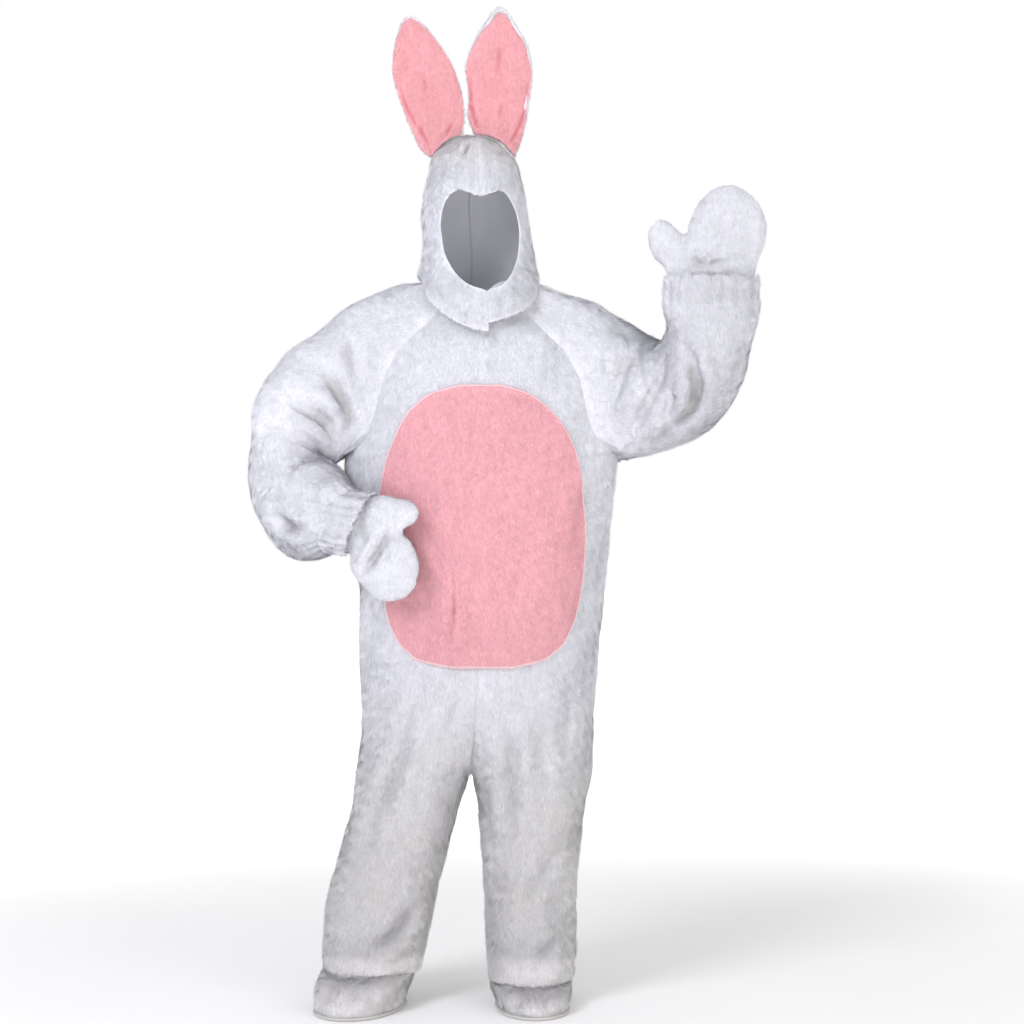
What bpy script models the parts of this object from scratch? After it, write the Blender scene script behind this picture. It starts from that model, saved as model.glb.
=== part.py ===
"""Bunny costume: a plush jumpsuit with raglan sleeves, and its hood with ears, mitts and foot covers.

Every cloth piece is a closed wall: a grid of points on the garment's outside, the same grid moved in by
the cloth's thickness, and the edges joined. Right and left are the wearer's, and right is -X. Heights in
the tables are measured up from the soles. The frame's zero is the point between the collarbones where
the wearer carries the costume, so the last step moves every piece down by HELD_HEIGHT.
"""

import bmesh
import bpy
import numpy as np

HELD_HEIGHT = 1.43
WALL = 0.005
TRIM_WALL = 0.004
HALF_SEAM = 0.00025
LAID_GAP = 0.0008
PATCH_GAP = 0.0014
RIGHT = -1
LEFT = 1
FRONT = 1
BACK = -1
SIDE_NAMES = {RIGHT: "right", LEFT: "left"}
FACE_NAMES = {FRONT: "front", BACK: "back"}

# Heights of the jumpsuit's main levels, and how many rows of points lie between them.
HEM_HEIGHT = {RIGHT: 0.068, LEFT: 0.048}
CROTCH_HEIGHT = 0.453
UNDERARM_HEIGHT = 1.08
NECK_HEIGHT = 1.43
NECK_RISE = 0.004
LEG_ROWS = 8
TRUNK_ROWS = 16
YOKE_ROWS = 8
PANEL_COLUMNS = 8
NECK_COLUMNS = 4
SLEEVE_ROWS = 14
# The share of the arm along which a sleeve passes from its seam to a plain tube.
SEAM_HOLD = 0.42

# Colour and roughness of each cloth.
CLOTHS = {
    "white_plush": ((0.86, 0.85, 0.84), 0.95),
    "pink_plush": ((0.93, 0.43, 0.50), 0.95),
    "sole_cloth": ((0.78, 0.76, 0.74), 0.9),
}


def smooth(knots, values, at):
    """A cubic through the values, whose slope at each knot is the mean of the slopes beside it."""
    at = np.clip(at, knots[0], knots[-1])
    step = np.diff(knots)
    slope = np.diff(values) / step
    inner = (slope[:-1] * step[1:] + slope[1:] * step[:-1]) / (step[1:] + step[:-1])
    tangent = np.concatenate([slope[:1], inner, slope[-1:]])
    i = np.clip(np.searchsorted(knots, at, side="right") - 1, 0, len(step) - 1)
    t = (at - knots[i]) / step[i]
    level = values[i] * (1 + 2 * t) * (1 - t) ** 2 + values[i + 1] * t * t * (3 - 2 * t)
    bend = tangent[i] * t * (1 - t) ** 2 - tangent[i + 1] * t * t * (1 - t)
    return level + bend * step[i]


class Sizes:
    """A short table with named columns, read between its rows along a smooth curve."""

    def __init__(self, columns, *rows):
        self.column = dict(zip(columns.split(), np.array(rows, float).T))
        self.key = next(iter(self.column.values()))

    def read(self, name, at):
        return smooth(self.key, self.column[name], np.asarray(at, float))


# The jumpsuit at each height: where its right and left outlines and its middle are, how far each half
# wraps round towards the inseam (0 is a plain quarter of the body, 1 a closed leg), and its depths.
TRUNK = Sizes(
    "height right left middle wrap front back",
    (0.040, -0.320, 0.184, -0.024, 1.00, 0.096, 0.100),
    (0.111, -0.320, 0.192, -0.024, 1.00, 0.098, 0.102),
    (0.207, -0.312, 0.190, -0.024, 1.00, 0.104, 0.108),
    (0.303, -0.284, 0.198, -0.024, 1.00, 0.112, 0.117),
    (0.399, -0.260, 0.210, -0.024, 1.00, 0.125, 0.130),
    (0.453, -0.254, 0.221, -0.022, 1.00, 0.134, 0.140),
    (0.500, -0.248, 0.224, -0.018, 0.72, 0.141, 0.147),
    (0.560, -0.242, 0.226, -0.012, 0.42, 0.150, 0.156),
    (0.640, -0.245, 0.230, -0.008, 0.14, 0.158, 0.162),
    (0.720, -0.247, 0.237, -0.006, 0.02, 0.164, 0.163),
    (0.800, -0.248, 0.246, -0.005, 0.00, 0.169, 0.159),
    (0.950, -0.258, 0.260, -0.004, 0.00, 0.173, 0.150),
    (1.080, -0.277, 0.272, -0.004, 0.00, 0.168, 0.150),
    (1.180, -0.262, 0.264, -0.004, 0.00, 0.158, 0.150),
    (1.260, -0.242, 0.242, -0.004, 0.00, 0.147, 0.143),
    (1.320, -0.207, 0.205, -0.004, 0.00, 0.135, 0.131),
    (1.375, -0.156, 0.150, -0.004, 0.00, 0.114, 0.112),
    (1.430, -0.104, 0.096, -0.004, 0.00, 0.090, 0.092),
)

# The inside edge of each leg below the crotch.
INSEAM = {
    RIGHT: Sizes(
        "height x",
        (0.040, -0.124),
        (0.111, -0.108),
        (0.207, -0.089),
        (0.303, -0.064),
        (0.399, -0.040),
        (0.453, -0.022),
    ),
    LEFT: Sizes(
        "height x",
        (0.040, 0.010),
        (0.111, 0.005),
        (0.207, 0.002),
        (0.303, -0.002),
        (0.399, -0.010),
        (0.453, -0.022),
    ),
}

# How far from the middle the slanting sleeve seams run.
RAGLAN = Sizes(
    "height front back",
    (1.080, 0.290, 0.290),
    (1.110, 0.240, 0.238),
    (1.150, 0.216, 0.214),
    (1.200, 0.203, 0.199),
    (1.250, 0.188, 0.182),
    (1.300, 0.156, 0.152),
    (1.335, 0.118, 0.120),
    (1.368, 0.088, 0.094),
    (1.430, 0.052, 0.062),
)

# Each sleeve's sections along the arm: the highest and lowest points of the tube on the garment's
# outline as x, y and height, and half the tube's depth. Share 0 is the neck, 1 the wrist elastic.
SLEEVE = {
    RIGHT: Sizes(
        "share top_x top_y top_z low_x low_y low_z depth",
        (0.00, -0.104, 0.000, 1.434, -0.268, 0.000, 1.080, 0.135),
        (0.10, -0.180, 0.000, 1.424, -0.282, 0.000, 1.070, 0.128),
        (0.20, -0.272, 0.000, 1.383, -0.294, 0.000, 1.064, 0.121),
        (0.30, -0.336, 0.005, 1.333, -0.303, -0.005, 1.066, 0.116),
        (0.40, -0.398, 0.010, 1.283, -0.310, -0.012, 1.072, 0.113),
        (0.50, -0.447, 0.018, 1.207, -0.313, -0.030, 1.080, 0.111),
        (0.58, -0.453, 0.022, 1.123, -0.310, -0.052, 1.084, 0.108),
        (0.66, -0.434, 0.016, 1.040, -0.308, -0.084, 1.080, 0.103),
        (0.74, -0.419, -0.006, 0.962, -0.298, -0.112, 1.070, 0.095),
        (0.82, -0.380, -0.054, 0.893, -0.280, -0.138, 1.050, 0.084),
        (0.91, -0.337, -0.108, 0.879, -0.262, -0.160, 1.034, 0.070),
        (1.00, -0.300, -0.154, 0.892, -0.242, -0.172, 1.020, 0.056),
    ),
    LEFT: Sizes(
        "share top_x top_y top_z low_x low_y low_z depth",
        (0.00, 0.096, 0.000, 1.434, 0.272, 0.000, 1.080, 0.135),
        (0.10, 0.165, 0.000, 1.414, 0.286, 0.000, 1.077, 0.126),
        (0.20, 0.230, -0.001, 1.392, 0.302, -0.001, 1.080, 0.120),
        (0.31, 0.287, -0.008, 1.356, 0.338, -0.008, 1.088, 0.115),
        (0.43, 0.324, -0.026, 1.326, 0.413, -0.024, 1.113, 0.110),
        (0.54, 0.338, -0.048, 1.306, 0.474, -0.044, 1.156, 0.105),
        (0.65, 0.350, -0.074, 1.311, 0.516, -0.066, 1.232, 0.096),
        (0.76, 0.360, -0.095, 1.333, 0.531, -0.086, 1.302, 0.084),
        (0.88, 0.356, -0.110, 1.361, 0.543, -0.104, 1.352, 0.066),
        (1.00, 0.349, -0.118, 1.388, 0.549, -0.118, 1.391, 0.050),
    ),
}

# The gathered heading beyond the elastic: the two ends of its open mouth and half its depth.
CUFF_MOUTH = {
    RIGHT: ((-0.262, -0.165, 0.892), (-0.206, -0.179, 1.012), 0.052),
    LEFT: ((0.355, -0.121, 1.430), (0.542, -0.121, 1.431), 0.052),
}
CUFF_WAVES = 18
CUFF_WAVE_HEIGHT = 0.003
CUFF_ROWS = 1

# The pink oval on the belly, as left and right edges at each height.
PATCH = Sizes(
    "height left right",
    (0.674, -0.055, 0.060),
    (0.684, -0.108, 0.108),
    (0.704, -0.142, 0.144),
    (0.740, -0.168, 0.170),
    (0.800, -0.184, 0.190),
    (0.870, -0.190, 0.199),
    (0.940, -0.192, 0.202),
    (1.000, -0.190, 0.199),
    (1.060, -0.181, 0.190),
    (1.110, -0.168, 0.175),
    (1.150, -0.152, 0.154),
    (1.185, -0.124, 0.120),
    (1.208, -0.088, 0.084),
    (1.221, -0.040, 0.042),
)
PATCH_END_ROWS = (0.674, 0.681, 0.690, 0.704, 1.209, 1.221)

PLACKET_BOTTOM = 0.80
PLACKET_TOP = 1.37
PLACKET_SHARE = 0.42

# Broad folds that show on the fronts and backs: how deep, how wide, and the line along which each runs.
FRONT_FOLDS = (
    (0.010, 0.020, ((-0.112, 0.610), (-0.142, 0.529), (-0.200, 0.400), (-0.236, 0.310))),
    (0.009, 0.018, ((0.054, 0.569), (0.052, 0.460), (0.050, 0.360))),
    (0.009, 0.016, ((-0.230, 0.085), (-0.165, 0.140), (-0.125, 0.190))),
    (0.006, 0.014, ((-0.174, 0.240), (-0.154, 0.205))),
    (0.008, 0.020, ((0.150, 0.330), (0.110, 0.250), (0.100, 0.170))),
    (0.007, 0.022, ((-0.004, 0.870), (-0.005, 0.760), (-0.007, 0.680))),
)
BACK_FOLDS = (
    (0.011, 0.022, ((-0.120, 0.640), (-0.150, 0.530), (-0.180, 0.420))),
    (0.009, 0.020, ((0.110, 0.650), (0.130, 0.520), (0.120, 0.400))),
    (0.009, 0.018, ((-0.240, 0.200), (-0.190, 0.160), (-0.140, 0.150))),
    (0.008, 0.018, ((0.050, 0.230), (0.110, 0.180), (0.160, 0.170))),
    (0.009, 0.022, ((-0.200, 1.080), (-0.130, 1.000), (-0.080, 0.960))),
    (0.009, 0.022, ((0.210, 1.060), (0.140, 0.990), (0.090, 0.960))),
    (0.007, 0.020, ((-0.150, 1.230), (-0.060, 1.190))),
    (0.007, 0.020, ((0.140, 1.240), (0.060, 1.200))),
)

# Folds of the sleeves in the same form. The front ones face the viewer, the back ones face away.
SLEEVE_FOLDS = {
    (RIGHT, FRONT): (
        (0.010, 0.016, ((-0.372, 1.189), (-0.314, 1.163), (-0.290, 1.119), (-0.268, 1.075))),
        (0.009, 0.016, ((-0.320, 1.269), (-0.274, 1.199), (-0.262, 1.150))),
        (0.008, 0.015, ((-0.384, 1.060), (-0.364, 1.095), (-0.324, 1.100))),
        (0.009, 0.014, ((-0.425, 0.958), (-0.390, 0.930), (-0.350, 0.925))),
    ),
    (RIGHT, BACK): (
        (0.009, 0.018, ((-0.390, 1.200), (-0.330, 1.160), (-0.300, 1.110))),
        (0.008, 0.016, ((-0.430, 1.060), (-0.390, 1.040), (-0.350, 1.060))),
    ),
    (LEFT, FRONT): (
        (0.010, 0.016, ((0.308, 1.319), (0.274, 1.249), (0.262, 1.190))),
        (0.011, 0.016, ((0.362, 1.299), (0.338, 1.215), (0.288, 1.119))),
        (0.013, 0.016, ((0.402, 1.289), (0.428, 1.215), (0.414, 1.175), (0.330, 1.105))),
    ),
    (LEFT, BACK): (
        (0.011, 0.018, ((0.370, 1.290), (0.350, 1.210), (0.300, 1.130))),
        (0.011, 0.017, ((0.410, 1.280), (0.440, 1.210), (0.420, 1.160))),
    ),
}

# The hood at each distance down the cloth from its crown.
HOOD = Sizes(
    "down height right left front back",
    (0.000, 1.7280, -0.018, -0.018, 0.000, 0.000),
    (0.040, 1.7210, -0.056, 0.019, 0.044, 0.048),
    (0.072, 1.7060, -0.079, 0.044, 0.066, 0.075),
    (0.105, 1.6790, -0.102, 0.068, 0.086, 0.098),
    (0.145, 1.6400, -0.112, 0.080, 0.103, 0.115),
    (0.203, 1.5830, -0.122, 0.092, 0.115, 0.127),
    (0.277, 1.5090, -0.122, 0.102, 0.118, 0.124),
    (0.331, 1.4550, -0.130, 0.113, 0.123, 0.116),
    (0.387, 1.4000, -0.153, 0.143, 0.143, 0.128),
    (0.466, 1.3250, -0.176, 0.166, 0.160, 0.150),
)
FACE_TURN = np.radians(7)

# The face opening and the hood's lower edge, by the angle from the middle of the face.
OPENING = Sizes(
    "step angle height",
    (0.00, 0.0, 1.5945),
    (0.14, 12.0, 1.594),
    (0.27, 24.0, 1.591),
    (0.40, 36.0, 1.580),
    (0.53, 45.0, 1.5475),
    (0.66, 47.0, 1.500),
    (0.78, 40.0, 1.456),
    (0.88, 26.0, 1.426),
    (0.95, 12.0, 1.411),
    (1.00, 0.0, 1.406),
)
HOOD_HEM = {
    RIGHT: Sizes(
        "angle height",
        (0, 1.326),
        (14, 1.334),
        (26, 1.350),
        (39, 1.374),
        (50, 1.398),
        (60, 1.422),
        (88, 1.448),
        (130, 1.436),
        (180, 1.400),
    ),
    LEFT: Sizes(
        "angle height",
        (0, 1.342),
        (14, 1.354),
        (27, 1.370),
        (40, 1.390),
        (50, 1.413),
        (60, 1.429),
        (82, 1.448),
        (130, 1.434),
        (180, 1.400),
    ),
}
HOOD_ROWS_ABOVE = 7
HOOD_ROWS_BESIDE = 9
HOOD_ROWS_BELOW = 3
HOOD_COLUMNS = 11
# The share of the hood's rows after which they turn to follow the hem.
HEM_START = 0.3
# The arch over each eye: how high it lifts the opening's edge, the angle where it ends, and how far up
# and down the cloth it reaches.
ARCH_LIFT = 0.014
ARCH_END = 48
ARCH_REACH = 0.045

# Ear outlines from the outer end of the base, over the tip and down: x, height and the width of the
# white border that shows round the pink front.
EAR = {
    RIGHT: Sizes(
        "step x height border",
        (0, -0.103, 1.679, 0.003),
        (1, -0.124, 1.697, 0.003),
        (2, -0.142, 1.736, 0.004),
        (3, -0.164, 1.788, 0.004),
        (4, -0.181, 1.850, 0.004),
        (5, -0.180, 1.896, 0.004),
        (6, -0.171, 1.938, 0.005),
        (6.6, -0.161, 1.961, 0.005),
        (7, -0.147, 1.9715, 0.006),
        (7.4, -0.130, 1.966, 0.006),
        (8, -0.113, 1.951, 0.006),
        (9, -0.084, 1.913, 0.006),
        (10, -0.055, 1.864, 0.005),
        (11, -0.038, 1.815, 0.004),
        (12, -0.034, 1.775, 0.007),
        (13, -0.034, 1.744, 0.014),
        (14, -0.038, 1.7264, 0.006),
    ),
    LEFT: Sizes(
        "step x height border",
        (0, 0.0690, 1.6848, 0.003),
        (1, 0.074, 1.697, 0.004),
        (2, 0.089, 1.744, 0.006),
        (3, 0.098, 1.791, 0.008),
        (4, 0.104, 1.846, 0.009),
        (5, 0.100, 1.887, 0.010),
        (6, 0.084, 1.931, 0.012),
        (7, 0.066, 1.959, 0.016),
        (7.6, 0.049, 1.982, 0.016),
        (8, 0.036, 1.987, 0.015),
        (8.4, 0.023, 1.982, 0.012),
        (9, 0.006, 1.960, 0.010),
        (10, -0.022, 1.911, 0.006),
        (11, -0.036, 1.862, 0.005),
        (12, -0.030, 1.806, 0.006),
        (13, -0.029, 1.758, 0.013),
        (14, -0.019, 1.7290, 0.012),
    ),
}
EAR_DEPTH = {FRONT: 0.008, BACK: 0.014}
EAR_REACH = 0.045
EAR_BASE_GAP = 0.0013
EAR_POINTS = 22
EAR_HEART_HEIGHT = 1.83
EAR_FRONT_RISE = 0.003
# Where the rings of an ear or a mitt lie between its heart and its outline.
PILLOW_RINGS = (0, 0.5, 0.8, 0.94, 1)

# Mitt outlines beyond the cuff, from the wrist's thumb side round the fingers: x and height.
MITT = {
    RIGHT: Sizes(
        "step x height",
        (0, -0.2118, 1.0064),
        (1, -0.186, 1.007),
        (2, -0.155, 1.004),
        (3, -0.131, 0.997),
        (4, -0.117, 0.975),
        (5, -0.127, 0.953),
        (6, -0.147, 0.938),
        (7, -0.131, 0.920),
        (8, -0.120, 0.892),
        (9, -0.117, 0.863),
        (10, -0.124, 0.833),
        (11, -0.146, 0.809),
        (12, -0.182, 0.804),
        (13, -0.228, 0.831),
        (14, -0.251, 0.862),
        (15, -0.2533, 0.8956),
    ),
    LEFT: Sizes(
        "step x height",
        (0, 0.3618, 1.430),
        (1, 0.352, 1.451),
        (2, 0.335, 1.468),
        (3, 0.325, 1.496),
        (4, 0.328, 1.530),
        (5, 0.345, 1.545),
        (6, 0.366, 1.541),
        (7, 0.396, 1.516),
        (8, 0.406, 1.546),
        (9, 0.424, 1.582),
        (10, 0.454, 1.606),
        (11, 0.498, 1.610),
        (12, 0.536, 1.582),
        (13, 0.557, 1.537),
        (14, 0.556, 1.500),
        (15, 0.541, 1.462),
        (16, 0.5350, 1.431),
    ),
}
# The mitt's wrist edge inside the sleeve, the middle of its palm, and its plane: y where x is the
# plane's origin, and how y changes with x.
MITT_WRIST = {
    RIGHT: ((-0.2692, 0.9054), (-0.2288, 1.0006)),
    LEFT: ((0.5366, 1.404), (0.3608, 1.404)),
}
MITT_HEART = {RIGHT: (-0.190, 0.922), LEFT: (0.436, 1.455)}
MITT_PLANE = {RIGHT: (-0.234, -0.172, -0.28), LEFT: (0.45, -0.121, 0.0)}
MITT_DEPTH = 0.027
MITT_REACH = 0.045
MITT_POINTS = 28

# Each foot cover: the middle of its sole, half its width and length, and how far the toes turn out.
FOOT = {
    RIGHT: (-0.236, -0.062, 0.082, 0.138, 16.0),
    LEFT: (0.100, -0.055, 0.072, 0.136, 4.0),
}
SOLE_THICKNESS = 0.006
SOLE_EDGE = 0.002
FOOT_CROWN_ROWS = 4
FOOT_TUCK = 0.024
FOOT_UNDER_HEM = 0.0012
FOOT_SWELL = 0.006
TOE_BLUNTNESS = 0.10


def unit(vectors):
    length = np.linalg.norm(vectors, axis=-1, keepdims=True)
    return vectors / np.maximum(length, 1e-12)


def stack(*parts):
    return np.stack(np.broadcast_arrays(*parts), axis=-1).astype(float)


def fold_depth(folds, x, height):
    """Troughs with a soft round section along each fold's line, fading at the line's ends."""
    total = np.zeros(np.broadcast(x, height).shape)
    for depth, width, line in folds:
        points = np.array(line)
        along = np.concatenate([[0], np.cumsum(np.hypot(*np.diff(points, axis=0).T))])
        nearest = np.full(total.shape, np.inf)
        place = np.zeros(total.shape)
        for i in range(len(points) - 1):
            run = points[i + 1] - points[i]
            t = ((x - points[i, 0]) * run[0] + (height - points[i, 1]) * run[1]) / (run @ run)
            t = np.clip(t, 0, 1)
            away = np.hypot(x - points[i, 0] - t * run[0], height - points[i, 1] - t * run[1])
            closer = away < nearest
            nearest = np.where(closer, away, nearest)
            place = np.where(closer, along[i] + t * (along[i + 1] - along[i]), place)
        fade = np.sin(np.pi * (0.12 + 0.76 * place / along[-1]))
        total += depth * fade * np.exp(-((nearest / width) ** 2))
    return total


def grid_inward(grid, closed, turn):
    """The grid's own normals, towards the inside where turn is right: the cross of its two directions."""
    if closed:
        around = np.roll(grid, -1, axis=1) - np.roll(grid, 1, axis=1)
    else:
        around = np.gradient(grid, axis=1)
    return unit(turn * np.cross(around, np.gradient(grid, axis=0)))


def eased(grid, closed):
    """The grid with its edges drawn back by half a seam gap."""
    grid = grid.copy()
    grid[0] += HALF_SEAM * unit(grid[1] - grid[0])
    grid[-1] += HALF_SEAM * unit(grid[-2] - grid[-1])
    if not closed:
        grid[:, 0] += HALF_SEAM * unit(grid[:, 1] - grid[:, 0])
        grid[:, -1] += HALF_SEAM * unit(grid[:, -2] - grid[:, -1])
    return grid


def cloth_material(name):
    material = bpy.data.materials.get(name)
    if material:
        return material
    colour, roughness = CLOTHS[name]
    material = bpy.data.materials.new(name)
    material.use_nodes = True
    material.diffuse_color = (*colour, 1)
    shader = material.node_tree.nodes["Principled BSDF"]
    shader.inputs["Base Color"].default_value = (*colour, 1)
    shader.inputs["Roughness"].default_value = roughness
    shader.inputs["Metallic"].default_value = 0
    return material


def walled(name, outer, inner, closed, cloth):
    """A closed solid between two grids of the same size. A closed grid goes round in its columns."""
    rows, columns = outer.shape[:2]
    count = rows * columns
    index = np.arange(count).reshape(rows, columns)
    if closed:
        index = np.concatenate([index, index[:, :1]], axis=1)
    skin = stack(index[:-1, :-1], index[:-1, 1:], index[1:, 1:], index[1:, :-1]).reshape(-1, 4)
    faces = [skin, skin[:, ::-1] + count]
    edges = [index[0, ::-1], index[-1]]
    if not closed:
        edges += [index[:, 0], index[::-1, -1]]
    for edge in edges:
        faces.append(stack(edge[:-1], edge[1:], edge[1:] + count, edge[:-1] + count))
    points = np.concatenate([outer.reshape(-1, 3), inner.reshape(-1, 3)])
    points[:, 2] -= HELD_HEIGHT
    return solid(name, points, np.concatenate(faces).astype(int), cloth)


def solid(name, points, faces, cloth):
    """A mesh object whose doubled points are joined and whose faces point out."""
    mesh = bpy.data.meshes.new(name)
    mesh.from_pydata(points.tolist(), [], faces.tolist())
    shape = bmesh.new()
    shape.from_mesh(mesh)
    bmesh.ops.remove_doubles(shape, verts=shape.verts, dist=2e-5)
    bmesh.ops.triangulate(shape, faces=shape.faces, quad_method="SHORT_EDGE")
    if shape.calc_volume(signed=True) < 0:
        bmesh.ops.reverse_faces(shape, faces=shape.faces)
    shape.to_mesh(mesh)
    shape.free()
    mesh.shade_smooth()
    mesh.materials.append(cloth_material(cloth))
    made = bpy.data.objects.new(name, mesh)
    bpy.context.scene.collection.objects.link(made)
    return made


def levels(side):
    """The heights of a body panel's rows, from the leg hem to the neck."""
    leg = np.linspace(HEM_HEIGHT[side], CROTCH_HEIGHT, LEG_ROWS + 1)
    trunk = np.linspace(CROTCH_HEIGHT, UNDERARM_HEIGHT, TRUNK_ROWS + 1)
    yoke = np.linspace(UNDERARM_HEIGHT, NECK_HEIGHT, YOKE_ROWS + 1)
    return np.concatenate([leg, trunk[1:], yoke[1:]])


def section(side, height):
    """Middle, half width and wrap of the ellipse that one half of the jumpsuit follows at a height."""
    outer = TRUNK.read(SIDE_NAMES[side], height)
    crotch = height >= CROTCH_HEIGHT
    inner = np.where(crotch, TRUNK.read("middle", height), INSEAM[side].read("x", height))
    wrap = np.where(crotch, np.clip(TRUNK.read("wrap", height), 0, 1), 1.0)
    width = side * (outer - inner) / (1 + wrap)
    return outer - side * width, width, wrap


def body(side, face, across, height):
    """A point of the jumpsuit and its way in. Across runs from the side or sleeve seam (0) to the
    centre seam or inseam (1): an angle round an ellipse, so x is a cosine and y a sine of it."""
    centre, width, wrap = section(side, height)
    seam = np.where(height > UNDERARM_HEIGHT, RAGLAN.read(FACE_NAMES[face], height), 1.0)
    start = np.arccos(np.clip((seam - side * centre) / width, -1, 1))
    angle = start + (np.arccos(-wrap) - start) * across
    depth = TRUNK.read(FACE_NAMES[face], height)
    x = centre + side * width * np.cos(angle)
    folds = FRONT_FOLDS if face == FRONT else BACK_FOLDS
    dent = fold_depth(folds, x, height) * np.clip(2 * np.sin(angle), 0, 1)
    y = -face * (depth * np.sin(angle) - dent)
    middle = TRUNK.read("middle", height)
    apart = np.maximum(side * (x - middle), HALF_SEAM)
    x = np.where(height >= CROTCH_HEIGHT, middle + side * apart, x)
    inward = stack(-side * np.cos(angle) / width, face * np.sin(angle) / depth, 0 * angle)
    return stack(x, y, height), unit(inward)


def panel_grid(side, face):
    across, height = np.meshgrid(np.linspace(0, 1, PANEL_COLUMNS + 1), levels(side))
    return body(side, face, across, height)


def make_panels():
    for side in (RIGHT, LEFT):
        for face in (FRONT, BACK):
            outer, inward = panel_grid(side, face)
            outer = eased(outer, False)
            name = f"{FACE_NAMES[face]}_{SIDE_NAMES[side]}"
            walled(name, outer, outer + WALL * inward, False, "white_plush")


def sleeve_loop(side):
    """The seam where a sleeve joins the body, from the underarm up the front, round the neck and down
    the back, with the body's own way in at each point."""
    yoke = np.linspace(UNDERARM_HEIGHT, NECK_HEIGHT, YOKE_ROWS + 1)
    up, up_in = body(side, FRONT, 0, yoke)
    down, down_in = body(side, BACK, 0, yoke)
    centre, width, _ = section(side, NECK_HEIGHT)
    first = np.arccos((side * up[-1, 0] - side * centre) / width)
    last = np.arccos((side * down[-1, 0] - side * centre) / width)
    angle = np.linspace(first, -last, NECK_COLUMNS + 1)[1:-1]
    reach = np.where(angle > 0, TRUNK.read("front", NECK_HEIGHT), TRUNK.read("back", NECK_HEIGHT))
    rise = NECK_RISE * np.cos(angle)
    neck = stack(centre + side * width * np.cos(angle), -reach * np.sin(angle), NECK_HEIGHT + rise)
    neck_in = unit(stack(-side * np.cos(angle), np.sin(angle), 0 * angle))
    loop = np.concatenate([up, neck, down[:0:-1]])
    loop[0] += (side * HALF_SEAM, 0, 2 * HALF_SEAM)
    return loop, np.concatenate([up_in, neck_in, down_in[:0:-1]])


def sleeve_ring(side, share, around):
    """The arm's tube: an ellipse between the outline's high and low points at each share of the arm."""
    table = SLEEVE[side]
    step = 0.01

    def ends(at):
        return [stack(*(table.read(f"{end}_{axis}", at) for axis in "xyz")) for end in ("top", "low")]

    top, low = ends(share)
    middle = (top + low) / 2
    ahead = sum(ends(np.minimum(share + step, 1))) - sum(ends(np.maximum(share - step, 0)))
    half = top - middle
    forward = side * unit(np.cross(ahead, half))
    depth = table.read("depth", share)[..., None]
    turn = 2 * np.pi * around[..., None]
    return middle - half * np.cos(turn) + forward * depth * np.sin(turn)


def sleeve_grid(side, rows):
    loop, loop_in = sleeve_loop(side)
    around, share = np.meshgrid(np.arange(len(loop)) / len(loop), np.linspace(0, 1, rows + 1))
    tube = sleeve_ring(side, share, around)
    passed = np.clip(share / SEAM_HOLD, 0, 1)
    hold = (1 - passed) ** 2 * (1 + 2 * passed)
    grid = tube + (loop - tube[0]) * hold[..., None]
    inward = grid_inward(grid, True, side)
    for face in (FRONT, BACK):
        folds = SLEEVE_FOLDS[side, face]
        facing = np.clip(2 * face * inward[..., 1], 0, 1)
        grown = np.clip(share * 4, 0, 1) * np.clip((1 - share) * 8, 0, 1)
        dent = fold_depth(folds, grid[..., 0], grid[..., 2]) * facing * grown
        grid = grid + inward * dent[..., None]
    inward = grid_inward(grid, True, side)
    inward[0] = loop_in
    inward[-1] = unit(grid[-1].mean(axis=0) - grid[-1])
    return grid, inward


def make_sleeves():
    for side in (RIGHT, LEFT):
        grid, inward = sleeve_grid(side, SLEEVE_ROWS)
        grid = eased(grid, True)
        walled(f"sleeve_{SIDE_NAMES[side]}", grid, grid + WALL * inward, True, "white_plush")


def cuff_grid(side):
    """The gathered heading: from the elastic to the mouth, with waves that grow towards the mouth."""
    count = 4 * CUFF_WAVES
    around, share = np.meshgrid(np.arange(count) / count, np.linspace(0, 1, CUFF_ROWS + 1))
    elastic = sleeve_ring(side, np.ones_like(around), around)
    top, low, depth = CUFF_MOUTH[side]
    top = np.array(top)
    low = np.array(low)
    middle = (top + low) / 2
    start = sleeve_ring(side, np.ones(2), np.array([0.0, 0.5])).mean(axis=0)
    forward = side * unit(np.cross(middle - start, top - middle))
    turn = 2 * np.pi * around[..., None]
    mouth = middle - (top - middle) * np.cos(turn) + forward * depth * np.sin(turn)
    grid = elastic + (mouth - elastic) * share[..., None]
    outward = unit(mouth - middle)
    wave = np.sin(2 * np.pi * CUFF_WAVES * around) * share * CUFF_WAVE_HEIGHT
    grid = grid + outward * wave[..., None]
    return grid, unit(grid.mean(axis=1, keepdims=True) - grid)


def make_cuffs():
    for side in (RIGHT, LEFT):
        grid, inward = cuff_grid(side)
        grid = eased(grid, True)
        walled(f"cuff_{SIDE_NAMES[side]}", grid, grid + TRIM_WALL * inward, True, "white_plush")


def laid_strip(name, points, inward, gap, thickness, cloth):
    """A flat piece on the jumpsuit: the panel's own points moved out, and again by its thickness."""
    low = points - gap * inward
    walled(name, low - thickness * inward, low, False, cloth)


def panel_row(panels, heights, height):
    """Values on the panels' points at any height, on the straight line between the rows beside it."""
    below = np.searchsorted(heights, height, side="right") - 1
    share = (height - heights[below]) / (heights[below + 1] - heights[below])
    return panels[below] + (panels[below + 1] - panels[below]) * share


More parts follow.
